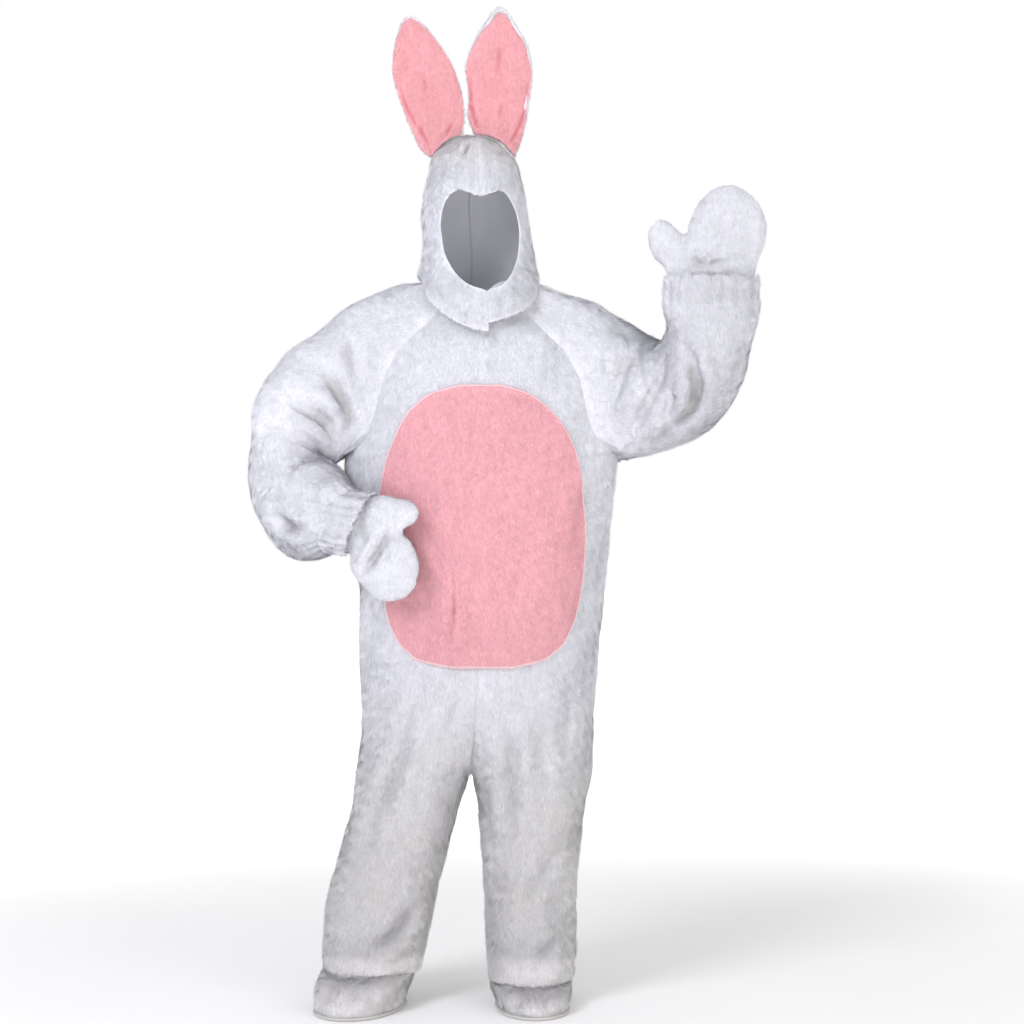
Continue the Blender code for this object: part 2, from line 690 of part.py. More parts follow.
def make_belly_patch():
    """The oval lies on the two fronts. Each row keeps the fronts' points that fall inside the oval, and
    the rest are drawn in to its edge along the same row."""
    right, right_in = panel_grid(RIGHT, FRONT)
    left, left_in = panel_grid(LEFT, FRONT)
    front = np.concatenate([right, left[:, ::-1]], axis=1)[LEG_ROWS:]
    front_in = np.concatenate([right_in, left_in[:, ::-1]], axis=1)[LEG_ROWS:]
    heights = front[:, 0, 2]
    inside = heights[(heights > PATCH_END_ROWS[3] + 0.01) & (heights < PATCH_END_ROWS[4] - 0.01)]
    points = []
    inward = []
    for height in np.sort(np.concatenate([inside, PATCH_END_ROWS])):
        line = panel_row(front, heights, height)
        line_in = panel_row(front_in, heights, height)
        x = np.clip(line[:, 0], PATCH.read("left", height), PATCH.read("right", height))
        points.append(stack(x, np.interp(x, line[:, 0], line[:, 1]), height))
        inward.append(stack(*(np.interp(x, line[:, 0], line_in[:, axis]) for axis in range(3))))
    laid_strip("belly_patch", np.array(points), unit(np.array(inward)), PATCH_GAP, WALL, "pink_plush")


def make_back_placket():
    """The strip over the back opening, from the points beside the centre back seam."""
    right, right_in = panel_grid(RIGHT, BACK)
    left, left_in = panel_grid(LEFT, BACK)
    heights = levels(RIGHT)
    kept = (heights >= PLACKET_BOTTOM) & (heights <= PLACKET_TOP)

    def across(one, other):
        edges = [grid[:, -1] + (grid[:, -2] - grid[:, -1]) * PLACKET_SHARE for grid in (one, other)]
        return np.stack([edges[0], (one[:, -1] + other[:, -1]) / 2, edges[1]], axis=1)[kept]

    points = across(right, left)
    inward = unit(across(right_in, left_in))
    laid_strip("back_placket", points, inward, LAID_GAP, TRIM_WALL, "white_plush")


def hood_point(angle, down):
    """The hood's surface: an ellipse at each distance down from the crown. Angle 0 is the front."""
    right = HOOD.read("right", down)
    left = HOOD.read("left", down)
    front = HOOD.read("front", down)
    back = HOOD.read("back", down)
    middle = (right + left) / 2
    depth = np.where(np.cos(angle) > 0, front, back)
    x = middle + (left - right) / 2 * np.sin(angle)
    return stack(x, -depth * np.cos(angle), HOOD.read("height", down))


def hood_down(height):
    """The distance down the hood's cloth at a height, below the crown."""
    down = np.linspace(0, HOOD.key[-1], 400)
    return np.interp(-np.asarray(height), -HOOD.read("height", down), down)


def arch_lift(angle, down, brow):
    """How far the cloth rises in an arch on each side of the brow: a sine's square round the face,
    fading above and below the brow."""
    arch = np.sin(np.pi * np.clip(np.degrees(angle) / ARCH_END, 0, 1)) ** 2
    return ARCH_LIFT * arch * np.exp(-(((down - brow) / ARCH_REACH) ** 2))


def hood_edge(side):
    """The hood half's front edge from crown to hem: crown seam, face opening, chin seam."""
    above = hood_down(OPENING.column["height"][0])
    below = hood_down(OPENING.column["height"][-1])
    hem = hood_down(HOOD_HEM[side].column["height"][0])
    step = np.linspace(0, 1, HOOD_ROWS_BESIDE + 1)
    crown = np.linspace(0, 1, HOOD_ROWS_ABOVE + 1)[:-1] ** 0.8 * above
    chin = np.linspace(below, hem, HOOD_ROWS_BELOW + 1)[1:]
    angle = np.concatenate([0 * crown, OPENING.read("angle", step), 0 * chin])
    down = np.concatenate([crown, hood_down(OPENING.read("height", step)), chin])
    back_hem = hood_down(HOOD_HEM[side].column["height"][-1])
    back = np.concatenate([crown, above + (below - above) * step, chin]) * back_hem / hem
    return np.radians(angle), down, back


def hood_grid(side, columns):
    """From the front edge (column 0) round to the centre back, the last rows eased onto the hem's line."""
    edge_angle, edge_down, back_down = hood_edge(side)
    across = np.linspace(0, 1, columns + 1)
    angle = edge_angle[:, None] * (1 - across) + np.pi * across
    down = edge_down[:, None] * (1 - across) + back_down[:, None] * across
    hem = hood_down(HOOD_HEM[side].read("height", np.degrees(angle)))
    rows = len(edge_down) - 1
    late = np.clip((np.arange(rows + 1) / rows - HEM_START) / (1 - HEM_START), 0, 1)[:, None]
    down = down * (1 + (hem / down[-1:] - 1) * late)
    down = down - arch_lift(angle, down, edge_down[HOOD_ROWS_ABOVE])
    grid = hood_point(FACE_TURN + side * angle, down)
    inward = grid_inward(grid, False, side)
    ahead = unit(np.array([np.cos(FACE_TURN), np.sin(FACE_TURN), 0]))
    seams = np.zeros(grid.shape[:2], bool)
    seams[:, 0] = edge_angle == 0
    seams[:, -1] = True
    inward[seams] -= (inward[seams] @ ahead)[:, None] * ahead
    grid[seams] += side * HALF_SEAM * ahead
    grid[0] = grid[0, 0]
    inward[0] = (0, 0, -1)
    inward[-1] *= (1, 1, 0)
    return grid, unit(inward)


def make_hood():
    for side in (RIGHT, LEFT):
        grid, inward = hood_grid(side, HOOD_COLUMNS)
        walled(f"hood_{SIDE_NAMES[side]}", grid, grid + WALL * inward, False, "white_plush")


def outline_points(x, height, count):
    """Points at even distances along a smooth curve through the given ones."""
    step = np.concatenate([[0], np.cumsum(np.hypot(np.diff(x), np.diff(height)))])
    fine = np.linspace(0, step[-1], 40 * count)
    curve = stack(smooth(step, x, fine), smooth(step, height, fine))
    run = np.concatenate([[0], np.cumsum(np.linalg.norm(np.diff(curve, axis=0), axis=1))])
    at = np.linspace(0, run[-1], count)
    return stack(np.interp(at, run, curve[:, 0]), np.interp(at, run, curve[:, 1]))


def outline_inward(outline, heart):
    """The way in from each point of an open outline, at right angles to it."""
    along = np.gradient(outline, axis=0)
    across = unit(stack(-along[:, 1], along[:, 0]))
    return across * np.sign(np.sum(across * (np.array(heart) - outline), axis=1, keepdims=True))


def distance_to(line, points):
    """The distance of each point to a line of straight runs."""
    start = line[:-1]
    run = line[1:] - start
    offset = points[..., None, :] - start
    t = np.clip(np.sum(offset * run, axis=-1) / np.sum(run * run, axis=-1), 0, 1)
    return np.linalg.norm(offset - t[..., None] * run, axis=-1).min(axis=-1)


def pillow_grid(seam, closing, heart, depth, reach):
    """One half of a sewn shape with two sides. Rings run from its heart out to its outline. It stands
    up from the seam as a quarter of an ellipse does, until it is as deep as it gets."""
    outline = np.concatenate([seam, closing])
    rings = np.array(PILLOW_RINGS)[:, None, None]
    flat = np.array(heart) + (outline - heart) * rings
    share = np.clip(distance_to(seam, flat) / reach, 0, 1)
    rise = depth * np.sqrt(1 - (1 - share) ** 2)
    rise[-1, : len(seam)] = 0
    return np.concatenate([flat, rise[..., None]], axis=-1)


def pillow_inward(grid, seam, seam_in):
    inward = grid_inward(grid, True, 1)
    inward[0] = (0, 0, -1)
    inward *= np.where(inward[..., 2:] > 0, -1, 1)
    count = len(seam)
    inward[-1, :count] = np.concatenate([seam_in, 0 * seam_in[:, :1]], axis=1)
    return inward


def placed(grid, face, plane):
    """A half shape's flat points and rise put on its plane, standing out to the front or back."""
    origin, level, slope = plane
    normal = unit(np.array([slope, -1.0, 0.0])) * face
    y = level + slope * (grid[..., 0] - origin)
    return stack(grid[..., 0], y, grid[..., 1]) + (grid[..., 2:] + HALF_SEAM) * normal


def ear_base(side, outline):
    """The base of an ear follows the hood's crown from its inner end to its outer end."""
    share = np.linspace(0, 1, 7)[1:-1]
    height = outline[-1, 1] + (outline[0, 1] - outline[-1, 1]) * share
    down = hood_down(height - EAR_BASE_GAP)
    x = HOOD.read(SIDE_NAMES[side], down) + side * EAR_BASE_GAP
    return stack(x, height)


def make_ears():
    for side in (RIGHT, LEFT):
        table = EAR[side]
        step = table.column["step"]
        outline = outline_points(table.column["x"], table.column["height"], EAR_POINTS)
        border = table.read("border", np.linspace(step[0], step[-1], EAR_POINTS))[:, None]
        heart = np.array([(outline[:, 0].min() + outline[:, 0].max()) / 2, EAR_HEART_HEIGHT])
        base = ear_base(side, outline)
        seam_in = outline_inward(outline, heart)
        for face in (FRONT, BACK):
            edge = outline + seam_in * border if face == FRONT else outline
            closing = base + [0, EAR_FRONT_RISE] if face == FRONT else base
            grid = pillow_grid(edge, closing, heart, EAR_DEPTH[face], EAR_REACH)
            inward = TRIM_WALL * pillow_inward(grid, edge, seam_in)
            if face == BACK:
                inward[-1, : len(edge)] *= (border + TRIM_WALL) / TRIM_WALL
            outer = placed(grid, face, (0, 0, 0))
            inner = placed(grid + inward, face, (0, 0, 0))
            cloth = "pink_plush" if face == FRONT else "white_plush"
            walled(f"ear_{FACE_NAMES[face]}_{SIDE_NAMES[side]}", outer, inner, True, cloth)


def make_mitts():
    for side in (RIGHT, LEFT):
        table = MITT[side]
        outline = outline_points(table.column["x"], table.column["height"], MITT_POINTS)
        first, last = (np.array(end) for end in MITT_WRIST[side])
        wrist = first + (last - first) * np.linspace(0, 1, 6)[:, None]
        heart = np.array(MITT_HEART[side])
        seam = np.concatenate([[wrist[-1]], outline, [wrist[0]]])
        seam_in = outline_inward(seam, heart)
        for face in (FRONT, BACK):
            grid = pillow_grid(seam, wrist[1:-1], heart, MITT_DEPTH, MITT_REACH)
            inward = pillow_inward(grid, seam, seam_in)
            outer = placed(grid, face, MITT_PLANE[side])
            inner = placed(grid + TRIM_WALL * inward, face, MITT_PLANE[side])
            part = "palm" if face == FRONT * side else "back"
            walled(f"mitt_{part}_{SIDE_NAMES[side]}", outer, inner, True, "white_plush")


def foot_ring(side, angle, grown):
    """The sole's outline: an ellipse, turned so that the toes point out, grown by an edge."""
    x, y, half_width, half_length, toe_out = FOOT[side]
    turn = np.radians(toe_out)
    across = side * (half_width + grown) * np.cos(angle)
    ahead = (half_length + grown) * np.sin(angle)
    blunt = 1 + TOE_BLUNTNESS * np.sin(angle) * np.sin(2 * angle) ** 2
    across = across * blunt
    return (
        x + across * np.cos(turn) + side * ahead * np.sin(turn),
        y - ahead * np.cos(turn) + side * across * np.sin(turn),
    )


def leg_lining(side, height, ease=0.0):
    """Points round the inside of a leg near its hem, a small gap in from the cloth, on the straight
    lines between the panels' two lowest rows. The first point is at the outer side, then the front."""
    across = np.linspace(0, 1, PANEL_COLUMNS + 1)
    hem, above = levels(side)[:2]
    share = np.clip((height - hem) / (above - hem), 0, 1)
    rings = []
    for level in (hem, above):
        front, front_in = body(side, FRONT, across, level)
        back, back_in = body(side, BACK, across[1:-1], level)
        ring = np.concatenate([front, back[::-1]])
        ring_in = np.concatenate([front_in, back_in[::-1]])
        rings.append(ring + (WALL + LAID_GAP + ease) * ring_in)
    ring = rings[0] + (rings[1] - rings[0]) * share
    ring[:, 2] = height
    return ring


def foot_rings(side):
    """Rings of the upper: from the sole up over the toes to just under the hem, then up inside it."""
    angle = np.arange(2 * PANEL_COLUMNS) * np.pi / PANEL_COLUMNS
    hem = HEM_HEIGHT[side]
    low = SOLE_THICKNESS + 2 * HALF_SEAM
    top = hem - FOOT_UNDER_HEM
    sole_x, sole_y = foot_ring(side, angle, 0)
    mouth = leg_lining(side, hem)
    rings = []
    for share in np.linspace(0, 1, FOOT_CROWN_ROWS + 1)[:-1]:
        climb = share * np.pi / 2
        inward = (1 - np.cos(climb)) ** 0.9
        out_x, out_y = foot_ring(side, angle, FOOT_SWELL * np.sin(2 * climb))
        x = out_x + (mouth[:, 0] - sole_x) * inward
        y = out_y + (mouth[:, 1] - sole_y) * inward
        rings.append(stack(x, y, low + (top - low) * np.sin(climb) ** 0.85))
    rings.append(leg_lining(side, top))
    rings.append(leg_lining(side, hem + FOOT_TUCK, LAID_GAP))
    return np.array(rings)


def make_feet():
    half = PANEL_COLUMNS
    for side in (RIGHT, LEFT):
        grid = foot_rings(side)
        inward = grid_inward(grid, True, side)
        inward[0] = unit(inward[0] * [1, 1, 0])
        inward[-2:] = unit(inward[-2:] * [1, 1, 0])
        for part, start in (("inner", half // 2), ("outer", half // 2 + half)):
            columns = np.arange(start, start + half + 1) % (2 * half)
            outer = eased(grid[:, columns], False)
            inner = outer + TRIM_WALL * inward[:, columns]
            walled(f"foot_{part}_{SIDE_NAMES[side]}", outer, inner, False, "white_plush")


def make_soles():
    angle = np.arange(32) * np.pi / 16
    for side in (RIGHT, LEFT):
        x, y = foot_ring(side, angle, SOLE_EDGE)
        centre = np.array([FOOT[side][0], FOOT[side][1]])
        rings = []
        for height in (SOLE_THICKNESS, 0.0):
            rim = stack(x, y, height)
            hub = np.broadcast_to([*centre, height], rim.shape)
            rings.append(np.array([hub, rim]))
        walled(f"sole_{SIDE_NAMES[side]}", rings[0], rings[1], True, "sole_cloth")


def main():
    for old in list(bpy.data.objects):
        bpy.data.objects.remove(old)
    make_panels()
    make_sleeves()
    make_cuffs()
    make_belly_patch()
    make_back_placket()
    make_hood()
    make_ears()
    make_mitts()
    make_feet()
    make_soles()


main()
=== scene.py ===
"""Bunny costume: the look of its plush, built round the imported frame.

Each cloth piece is a fine wall on the same form as its solid, with the pile's roots a little inside the
solid's face and the tips of the pile at it. Heights in the tables are measured up from the soles, and the
last step of every piece moves it down by HELD_HEIGHT, to the frame's zero between the collarbones.
"""

import bpy
import numpy as np
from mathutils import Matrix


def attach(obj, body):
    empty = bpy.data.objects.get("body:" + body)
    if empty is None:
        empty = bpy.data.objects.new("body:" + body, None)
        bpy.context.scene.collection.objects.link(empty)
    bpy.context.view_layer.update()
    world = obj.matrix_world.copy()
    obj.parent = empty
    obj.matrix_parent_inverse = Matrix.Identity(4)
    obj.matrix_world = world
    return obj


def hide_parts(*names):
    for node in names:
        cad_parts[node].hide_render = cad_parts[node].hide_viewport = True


bl_info = {
    "name": "Bunny Costume",
    "version": (1, 0, 0),
    "blender": (4, 5, 0),
    "location": "3D View > Sidebar > Costume",
    "description": "Builds a plush bunny costume piece by piece",
    "category": "Object",
}

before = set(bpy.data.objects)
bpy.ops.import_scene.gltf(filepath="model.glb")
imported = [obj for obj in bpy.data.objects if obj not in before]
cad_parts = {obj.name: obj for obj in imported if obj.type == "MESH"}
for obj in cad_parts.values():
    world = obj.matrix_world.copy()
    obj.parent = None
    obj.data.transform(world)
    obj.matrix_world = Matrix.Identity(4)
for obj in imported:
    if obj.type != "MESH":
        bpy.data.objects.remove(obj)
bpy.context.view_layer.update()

# The neck's height over the soles, the walls of the solids, half the gap between two pieces sewn side
# by side, and the gaps under a laid strip and under the patch.
HELD_HEIGHT = 1.43
WALL = 0.005
TRIM_WALL = 0.004
HALF_SEAM = 0.00004
LAID_GAP = 0.0008
PATCH_GAP = 0.0014
RIGHT = -1
LEFT = 1
FRONT = 1
BACK = -1
SIDE_NAMES = {RIGHT: "right", LEFT: "left"}
FACE_NAMES = {FRONT: "front", BACK: "back"}

# Heights of the jumpsuit's main levels, and how far the neck's edge rises over the shoulders.
HEM_HEIGHT = {RIGHT: 0.068, LEFT: 0.048}
CROTCH_HEIGHT = 0.453
UNDERARM_HEIGHT = 1.08
NECK_HEIGHT = 1.43
NECK_RISE = 0.004
# The solids' steps up the yoke, across a panel and round half the neck. The finer points divide them.
YOKE_ROWS = 8
PANEL_COLUMNS = 8
NECK_COLUMNS = 4
# The share of the arm along which a sleeve passes from its seam to a plain tube.
SEAM_HOLD = 0.42

# The look's own sizes: how far the pile's roots lie inside the solid's face, the woven backing's
# thickness, and how deep and wide the dip along a seam is.
ROOT_DEPTH = 0.0030
BACKING = 0.0020
SEAM_DIP = 0.0030
SEAM_WIDTH = 0.0070
# Points along each form. A name that ends in FINER says how many times closer than the solids' they lie.
BODY_ROWS = 176
BODY_COLUMNS = 40
SLEEVE_FINER = 5
SLEEVE_FINE_ROWS = 92
CUFF_FINE_COLUMNS = 288
CUFF_FINE_ROWS = 9
PATCH_ROWS = 84
PATCH_COLUMNS = 60
PLACKET_ROWS = 90
PLACKET_COLUMNS = 8
HOOD_FINER = 5
EAR_FINE_POINTS = 96
MITT_FINE_POINTS = 110
PILLOW_FINE_RINGS = 22
FOOT_FINER = 7
SOLE_POINTS = 96
SOLE_EDGE_RINGS = 7
EAR_BASE_POINTS = 24
MITT_WRIST_POINTS = 24
FOOT_TUCK_ROWS = 6
# Soft unevenness of worn cloth: its height, its two lengths and the smaller one's share.
LUMP_HEIGHT = 0.0008
LUMP_LENGTH = 0.12
SMALL_LUMP_LENGTH = 0.05
SMALL_LUMP_SHARE = 0.7
# Worn plush creases wider and deeper than its backing's lines, and its banks are this high beside a trough.
CREASE_DEEPER = 1.35
CREASE_WIDER = 1.2
BANK_SHARE = 0.45
# Which part of a half wave a fold's or a crease's depth follows along its line: its start and its length.
FOLD_ENDS = (0.12, 0.76)
CREASE_ENDS = (0.06, 0.88)
# How soon a fold or a crease reaches its depth where the cloth turns to face front or back.
FOLD_FACING = 2
CREASE_FACING = 1.5
# The share of the arm over which a sleeve's folds come in from the seam, and the share over which its
# creases do and its folds go out at the wrist.
FOLDS_COME_IN = 0.25
SLEEVE_END = 0.125
# The least and the most length of a wave in a soft random field, as shares of the length asked for.
WAVE_SPREAD = (0.75, 1.35)
# Points that a curve is measured on: for each wanted point of an outline, and down the hood.
OUTLINE_MEASURED = 40
HOOD_MEASURED = 400
# The gathers beside a wrist's elastic: how deep, how far up the arm they fade, and the elastic's pinch.
GATHER_DEPTH = 0.0028
GATHER_SHARE = 0.075
PINCH_DEPTH = 0.003
PINCH_SHARE = 0.018
# How far each gather is pushed aside: the strengths of a slow and a quick wave round the mouth.
GATHER_PUSH = (1.6, 1.1)

# The pile: its blades' width, the share of them that the backs carry, and the least and the most of a
# blade's half width and length.
BLADE_WIDTH = 0.0022
BACK_SHARE = 0.75
WIDTH_SPREAD = (0.35, 0.6)
LENGTH_SPREAD = (0.75, 1.2)
# How steeply blades stand, as an angle and how much it varies. A few guard hairs stand steeper and are
# longer and thinner.
LIFT = (0.34, 0.10)
GUARD_LIFT = (0.55, 0.12)
GUARD_SHARE = 0.1
GUARD_LONGER = 1.1
GUARD_THINNER = 0.7
# How the nap turns: the angle, length and seed of a broad and a fine swirl, and each blade's own turn.
SWIRLS = ((0.22, 0.11, 21), (0.25, 0.022, 22))
OWN_TURN = 0.28
# The tufts' length, how far they draw the tips together, and their seeds.
TUFT_LENGTH = 0.014
TUFT_PULL = 0.0009
TUFT_SEEDS = (31, 32, 33)
# How near an edge the pile shortens and to what share, and the share below which a blade is left out.
EDGE_FADE = 0.008
EDGE_PILE = 0.6
LEAST_BLADE = 0.05
# Steps that spread the blades evenly in a cell, how far chance moves them, and a blade's size on the
# texture square.
SPREAD_DOWN = 0.7548776662
SPREAD_ACROSS = 0.5698402910
SPREAD_CHANCE = 0.15
BLADE_UV = 0.0006
# Each blade's painted shade, uneven from blade to blade: the least and the most light at a blade's root,
# and how much more its tip gets.
ROOT_LIGHT = (0.0, 0.45)
TIP_LIGHT = (0.35, 0.75)
# How long each kind of piece's pile is beside the jumpsuit's.
PILE_SHARE = {"cuff": 1.25, "patch": 0.75, "placket": 0.8, "ear": 0.75, "mitt": 0.8, "foot": 1.1}

# Mesh limits: points nearer than WELD are one, a face under SMALLEST_FACE is dropped, and a grid's
# normal that agrees with the form's own way by less than SURE isn't used.
WELD = 2e-5
SMALLEST_FACE = 1e-10
SURE = 0.2
# The depth of a crease whose floor gets the darkest painted shade.
FOLD_SHADE_FULL = 0.009
# Stands for a distance with no edge near.
FAR = 1.0
# The texture square: its name, the share of its width that a cloth's face fills, how many strips the
# middle has for the rims, how much of its strip a rim fills, and what a sole's face and a stitch fill.
UV_NAME = "OFBake"
FACE_SHARE = 0.48
RIM_STRIPS = 5
STRIP_FILL = 0.7
SOLE_SHARE = 0.49
STITCH_SHARE = 0.9

# Painted shade down in the pile: how dark the pile is at its roots, how light at its tips, and how much
# lighter the woven face is.
WHITE_ROOT_SHADE = 0.84
PINK_ROOT_SHADE = 0.80
TIP_TONE = 1.03
FACE_LIGHTER = 0.04
# Painted shade and light, where the plush is paler or darker than its colour: the axis along which the tone
# passes, where the passage starts and ends, and the tone at each end. For painted shade low on the legs,
# painted light on the feet, painted shade on the raised arm and painted light on the resting arm.
PAINTED_SHADE_AND_LIGHT = (
    ("Z", -1.43, -0.35, 0.84, 1.0),
    ("Z", -1.35, -1.32, 1.29, 1.0),
    ("X", 0.27, 0.42, 1.0, 0.88),
    ("X", -0.42, -0.20, 1.05, 1.0),
)
# Broad patches, brushed streaks and small tufts: how fine each is, its least and most tone, and how
# much of its fineness is left upwards.
MOTTLES = ((7.0, 0.965, 1.02, 1), (46.0, 0.96, 1.03, 0.35), (210.0, 0.92, 1.04, 0.4))
# The heights between which the second colour comes in down the legs as painted shade, and up the crown and
# ears, its share up there, and its patches as in the mottles.
LEG_SHADE_HEIGHTS = (-0.70, -1.10)
TOP_COLOUR_HEIGHTS = (0.20, 0.26)
TOP_COLOUR_SHARE = 0.9
SHADE_AND_TOP_PATCHES = (9.0, 0.7, 1.0)
# Painted shade on a crease's floor: its tone and tint, the share of the depth where each starts, and the
# least part of a colour above which it counts as white.
FOLD_SHADE_TONE = 0.88
FOLD_SHADE_START = 0.2
CREASE_SHADE_TINT = (0.97, 0.95, 0.91)
PINK_CREASE_SHADE_TINT = (0.95, 0.62, 0.66)
SHADE_TINT_START = 0.25
PALE = 0.6
# What every material shares, and the limits that most of a noise lies between.
SHEEN_ROUGHNESS = 0.5
SPECULAR = 0.2
NOISE_LIMITS = (0.3, 0.7)
THREAD_BUMP = 0.0006

# The satin stitches: how far apart, how thick, how far in over the patch, how high over it and how far
# down beside it. Then how much their reach varies, how far they lean, their colour and their seed.
STITCH_STEP = 0.0024
STITCH_RADIUS = 0.0007
STITCH_REACH = 0.0035
STITCH_HIGH = 0.0028
STITCH_DROP = 0.0050
STITCH_UNEVEN = (0.85, 1.15)
STITCH_LEAN = (0.2, 0.5)
STITCH_COLOUR = (0.93, 0.72, 0.76)
STITCH_SEED = 77

# How far the fronts' neck edge dips under the chin, the height where that starts, the width beside the
# centre seam where a panel's roots aren't moved away from it, and how far under the crotch that holds.
NECK_SCOOP = 0.036
SCOOP_START = 1.33
SEAM_CLOSING = 0.030
SEAM_MARGIN = 0.001

# The dip in a sleeve's outer side at the elbow: its depth, height and reach.
ELBOW_PINCH = {RIGHT: (0.009, 1.115, 0.030), LEFT: (0.0, 1.1, 0.03)}
# Where a sleeve's rows lie closer than this, as in the bend of the elbow, its creases fade, at most to
# the square of the least share.
CROWDED = 0.006
LEAST_CROWDED = 0.1
# How deep each piece dips along its seams, and the backing of the thinner pieces.
PANEL_DIP = 0.0016
SLEEVE_DIP = 0.0014
CUFF_DIP = 0.0
PLACKET_DIP = 0.0010
HOOD_DIP = 0.0006
PILLOW_DIP = 0.0005
FOOT_DIP = 0.0022
TRIM_BACKING = 0.0014
# How far inside the patch's outline the fronts have no pile.
PATCH_HIDES = 0.004
# How far from the face opening the hood's creases reach their depth.
HOOD_PLAIN = 0.020
# By the first letters of an ear's or a mitt's name: over what share of the way from rim to heart its
# creases reach their depth, and how strongly painted shade darkens them.
RIM_PLAIN = {"ear": 0.12, "mit": 0.01}
PILLOW_SHADE = {"ear": 5.0, "mit": 1.0}
# How squarely an ear or a mitt has to face the viewer for a crease: the slope and what is taken off.
PILLOW_FACING = (2, 0.6)
# How strongly the nap turns outwards at an ear's or a mitt's rim.
RIM_NAP = 1.4
# The ear's white border: how far it runs in under the pink front, how far it has dropped behind the
# ear's plane there, and where its rings lie.
RIM_UNDER = 0.002
RIM_DROP = 0.006
RIM_RINGS = np.array([0.12, 0.4, 0.7, 1.0])
# The way the nap lies on the ears and mitts.
EAR_NAP = (0, 0, 1)
MITT_NAP = {RIGHT: (0.5, 0, -1), LEFT: (0.1, 0, 1)}

# The studio floor: its height, the radius of its rings, the points in each, and the distances between
# which it passes into bright light.
FLOOR_HEIGHT = -1.4305
FLOOR_RINGS = np.array([0, 0.4, 0.8, 1.2, 1.8, 2.6, 3.6, 5, 7, 10, 15, 24.0])
FLOOR_POINTS = 96
FLOOR_GLOW = (1.6, 4.5)
# The light from all round: its level in front, and the part of the way back over which it grows to 1.
WORLD_LEVEL = 0.70
WORLD_RISE = (0.55, 0.92)
# Each light's place, size, power and colour.
LIGHTS = {
    "key_light": ((-3.2, -4.2, 2.4), 2.2, 182.0, (0.92, 0.92, 1.0)),
    "fill_light": ((3.6, -3.6, 0.6), 3.0, 50.0, (1.0, 0.97, 0.93)),
    "low_light": ((0.3, -3.0, -1.20), 1.4, 24.0, (1.0, 0.98, 0.95)),
}
# The camera stands level in front of the chest, with its lens and sensor in millimetres.
CAMERA_PLACE = (0.06, -4.5, -0.455)
CAMERA_LENS = 79.1
CAMERA_SENSOR = 36.0


def smooth(knots, values, at):
    """A cubic through the values, whose slope at each knot is the mean of the slopes beside it."""
    at = np.clip(at, knots[0], knots[-1])
    step = np.diff(knots)
    slope = np.diff(values) / step
    inner = (slope[:-1] * step[1:] + slope[1:] * step[:-1]) / (step[1:] + step[:-1])
    tangent = np.concatenate([slope[:1], inner, slope[-1:]])
    i = np.clip(np.searchsorted(knots, at, side="right") - 1, 0, len(step) - 1)
    t = (at - knots[i]) / step[i]
    level = values[i] * (1 + 2 * t) * (1 - t) ** 2 + values[i + 1] * t * t * (3 - 2 * t)
    bend = tangent[i] * t * (1 - t) ** 2 - tangent[i + 1] * t * t * (1 - t)
    return level + bend * step[i]


class Sizes:
    """A short table with named columns, read between its rows along a smooth curve. The rows are text,
    with a comma after each but the last."""

    def __init__(self, columns, rows):
        table = np.array([row.split() for row in rows.split(",")], float)
        self.column = dict(zip(columns.split(), table.T))
        self.key = next(iter(self.column.values()))

    def read(self, name, at):
        """The named column's value at any place along the first column."""
        return smooth(self.key, self.column[name], np.asarray(at, float))


# The jumpsuit at each height: where its right and left outlines and its middle are, how far each half
# wraps round towards the inseam (0 is a plain quarter of the body, 1 a closed leg), and its depths.
TRUNK = Sizes("height right left middle wrap front back", """
    0.04 -0.32 0.184 -0.024 1 0.096 0.1, 0.111 -0.32 0.192 -0.024 1 0.098 0.102,
    0.207 -0.312 0.19 -0.024 1 0.104 0.108, 0.303 -0.284 0.198 -0.024 1 0.112 0.117,
    0.399 -0.26 0.21 -0.024 1 0.125 0.13, 0.453 -0.254 0.221 -0.022 1 0.134 0.14,
    0.5 -0.248 0.224 -0.018 0.72 0.141 0.147, 0.56 -0.242 0.226 -0.012 0.42 0.15 0.156,
    0.64 -0.245 0.23 -0.008 0.14 0.158 0.162, 0.72 -0.247 0.237 -0.006 0.02 0.164 0.163,
    0.8 -0.248 0.246 -0.005 0 0.169 0.159, 0.95 -0.258 0.26 -0.004 0 0.173 0.15,
    1.08 -0.277 0.272 -0.004 0 0.168 0.15, 1.18 -0.262 0.264 -0.004 0 0.158 0.15,
    1.26 -0.242 0.242 -0.004 0 0.147 0.143, 1.32 -0.207 0.205 -0.004 0 0.135 0.131,
    1.375 -0.156 0.15 -0.004 0 0.114 0.112, 1.43 -0.104 0.096 -0.004 0 0.09 0.092
""")

# The inside edge of each leg below the crotch.
INSEAM = {
    RIGHT: Sizes("height x", """
        0.04 -0.124, 0.111 -0.108, 0.207 -0.089, 0.303 -0.064, 0.399 -0.04, 0.453 -0.022
    """),
    LEFT: Sizes("height x", """
        0.04 0.01, 0.111 0.005, 0.207 0.002, 0.303 -0.002, 0.399 -0.01, 0.453 -0.022
    """),
}

# How far from the middle the slanting sleeve seams run.
RAGLAN = Sizes("height front back", """
    1.08 0.29 0.29, 1.11 0.24 0.238, 1.15 0.216 0.214, 1.2 0.203 0.199, 1.25 0.188 0.182, 1.3 0.156 0.152,
    1.335 0.118 0.12, 1.368 0.088 0.094, 1.43 0.052 0.062
""")

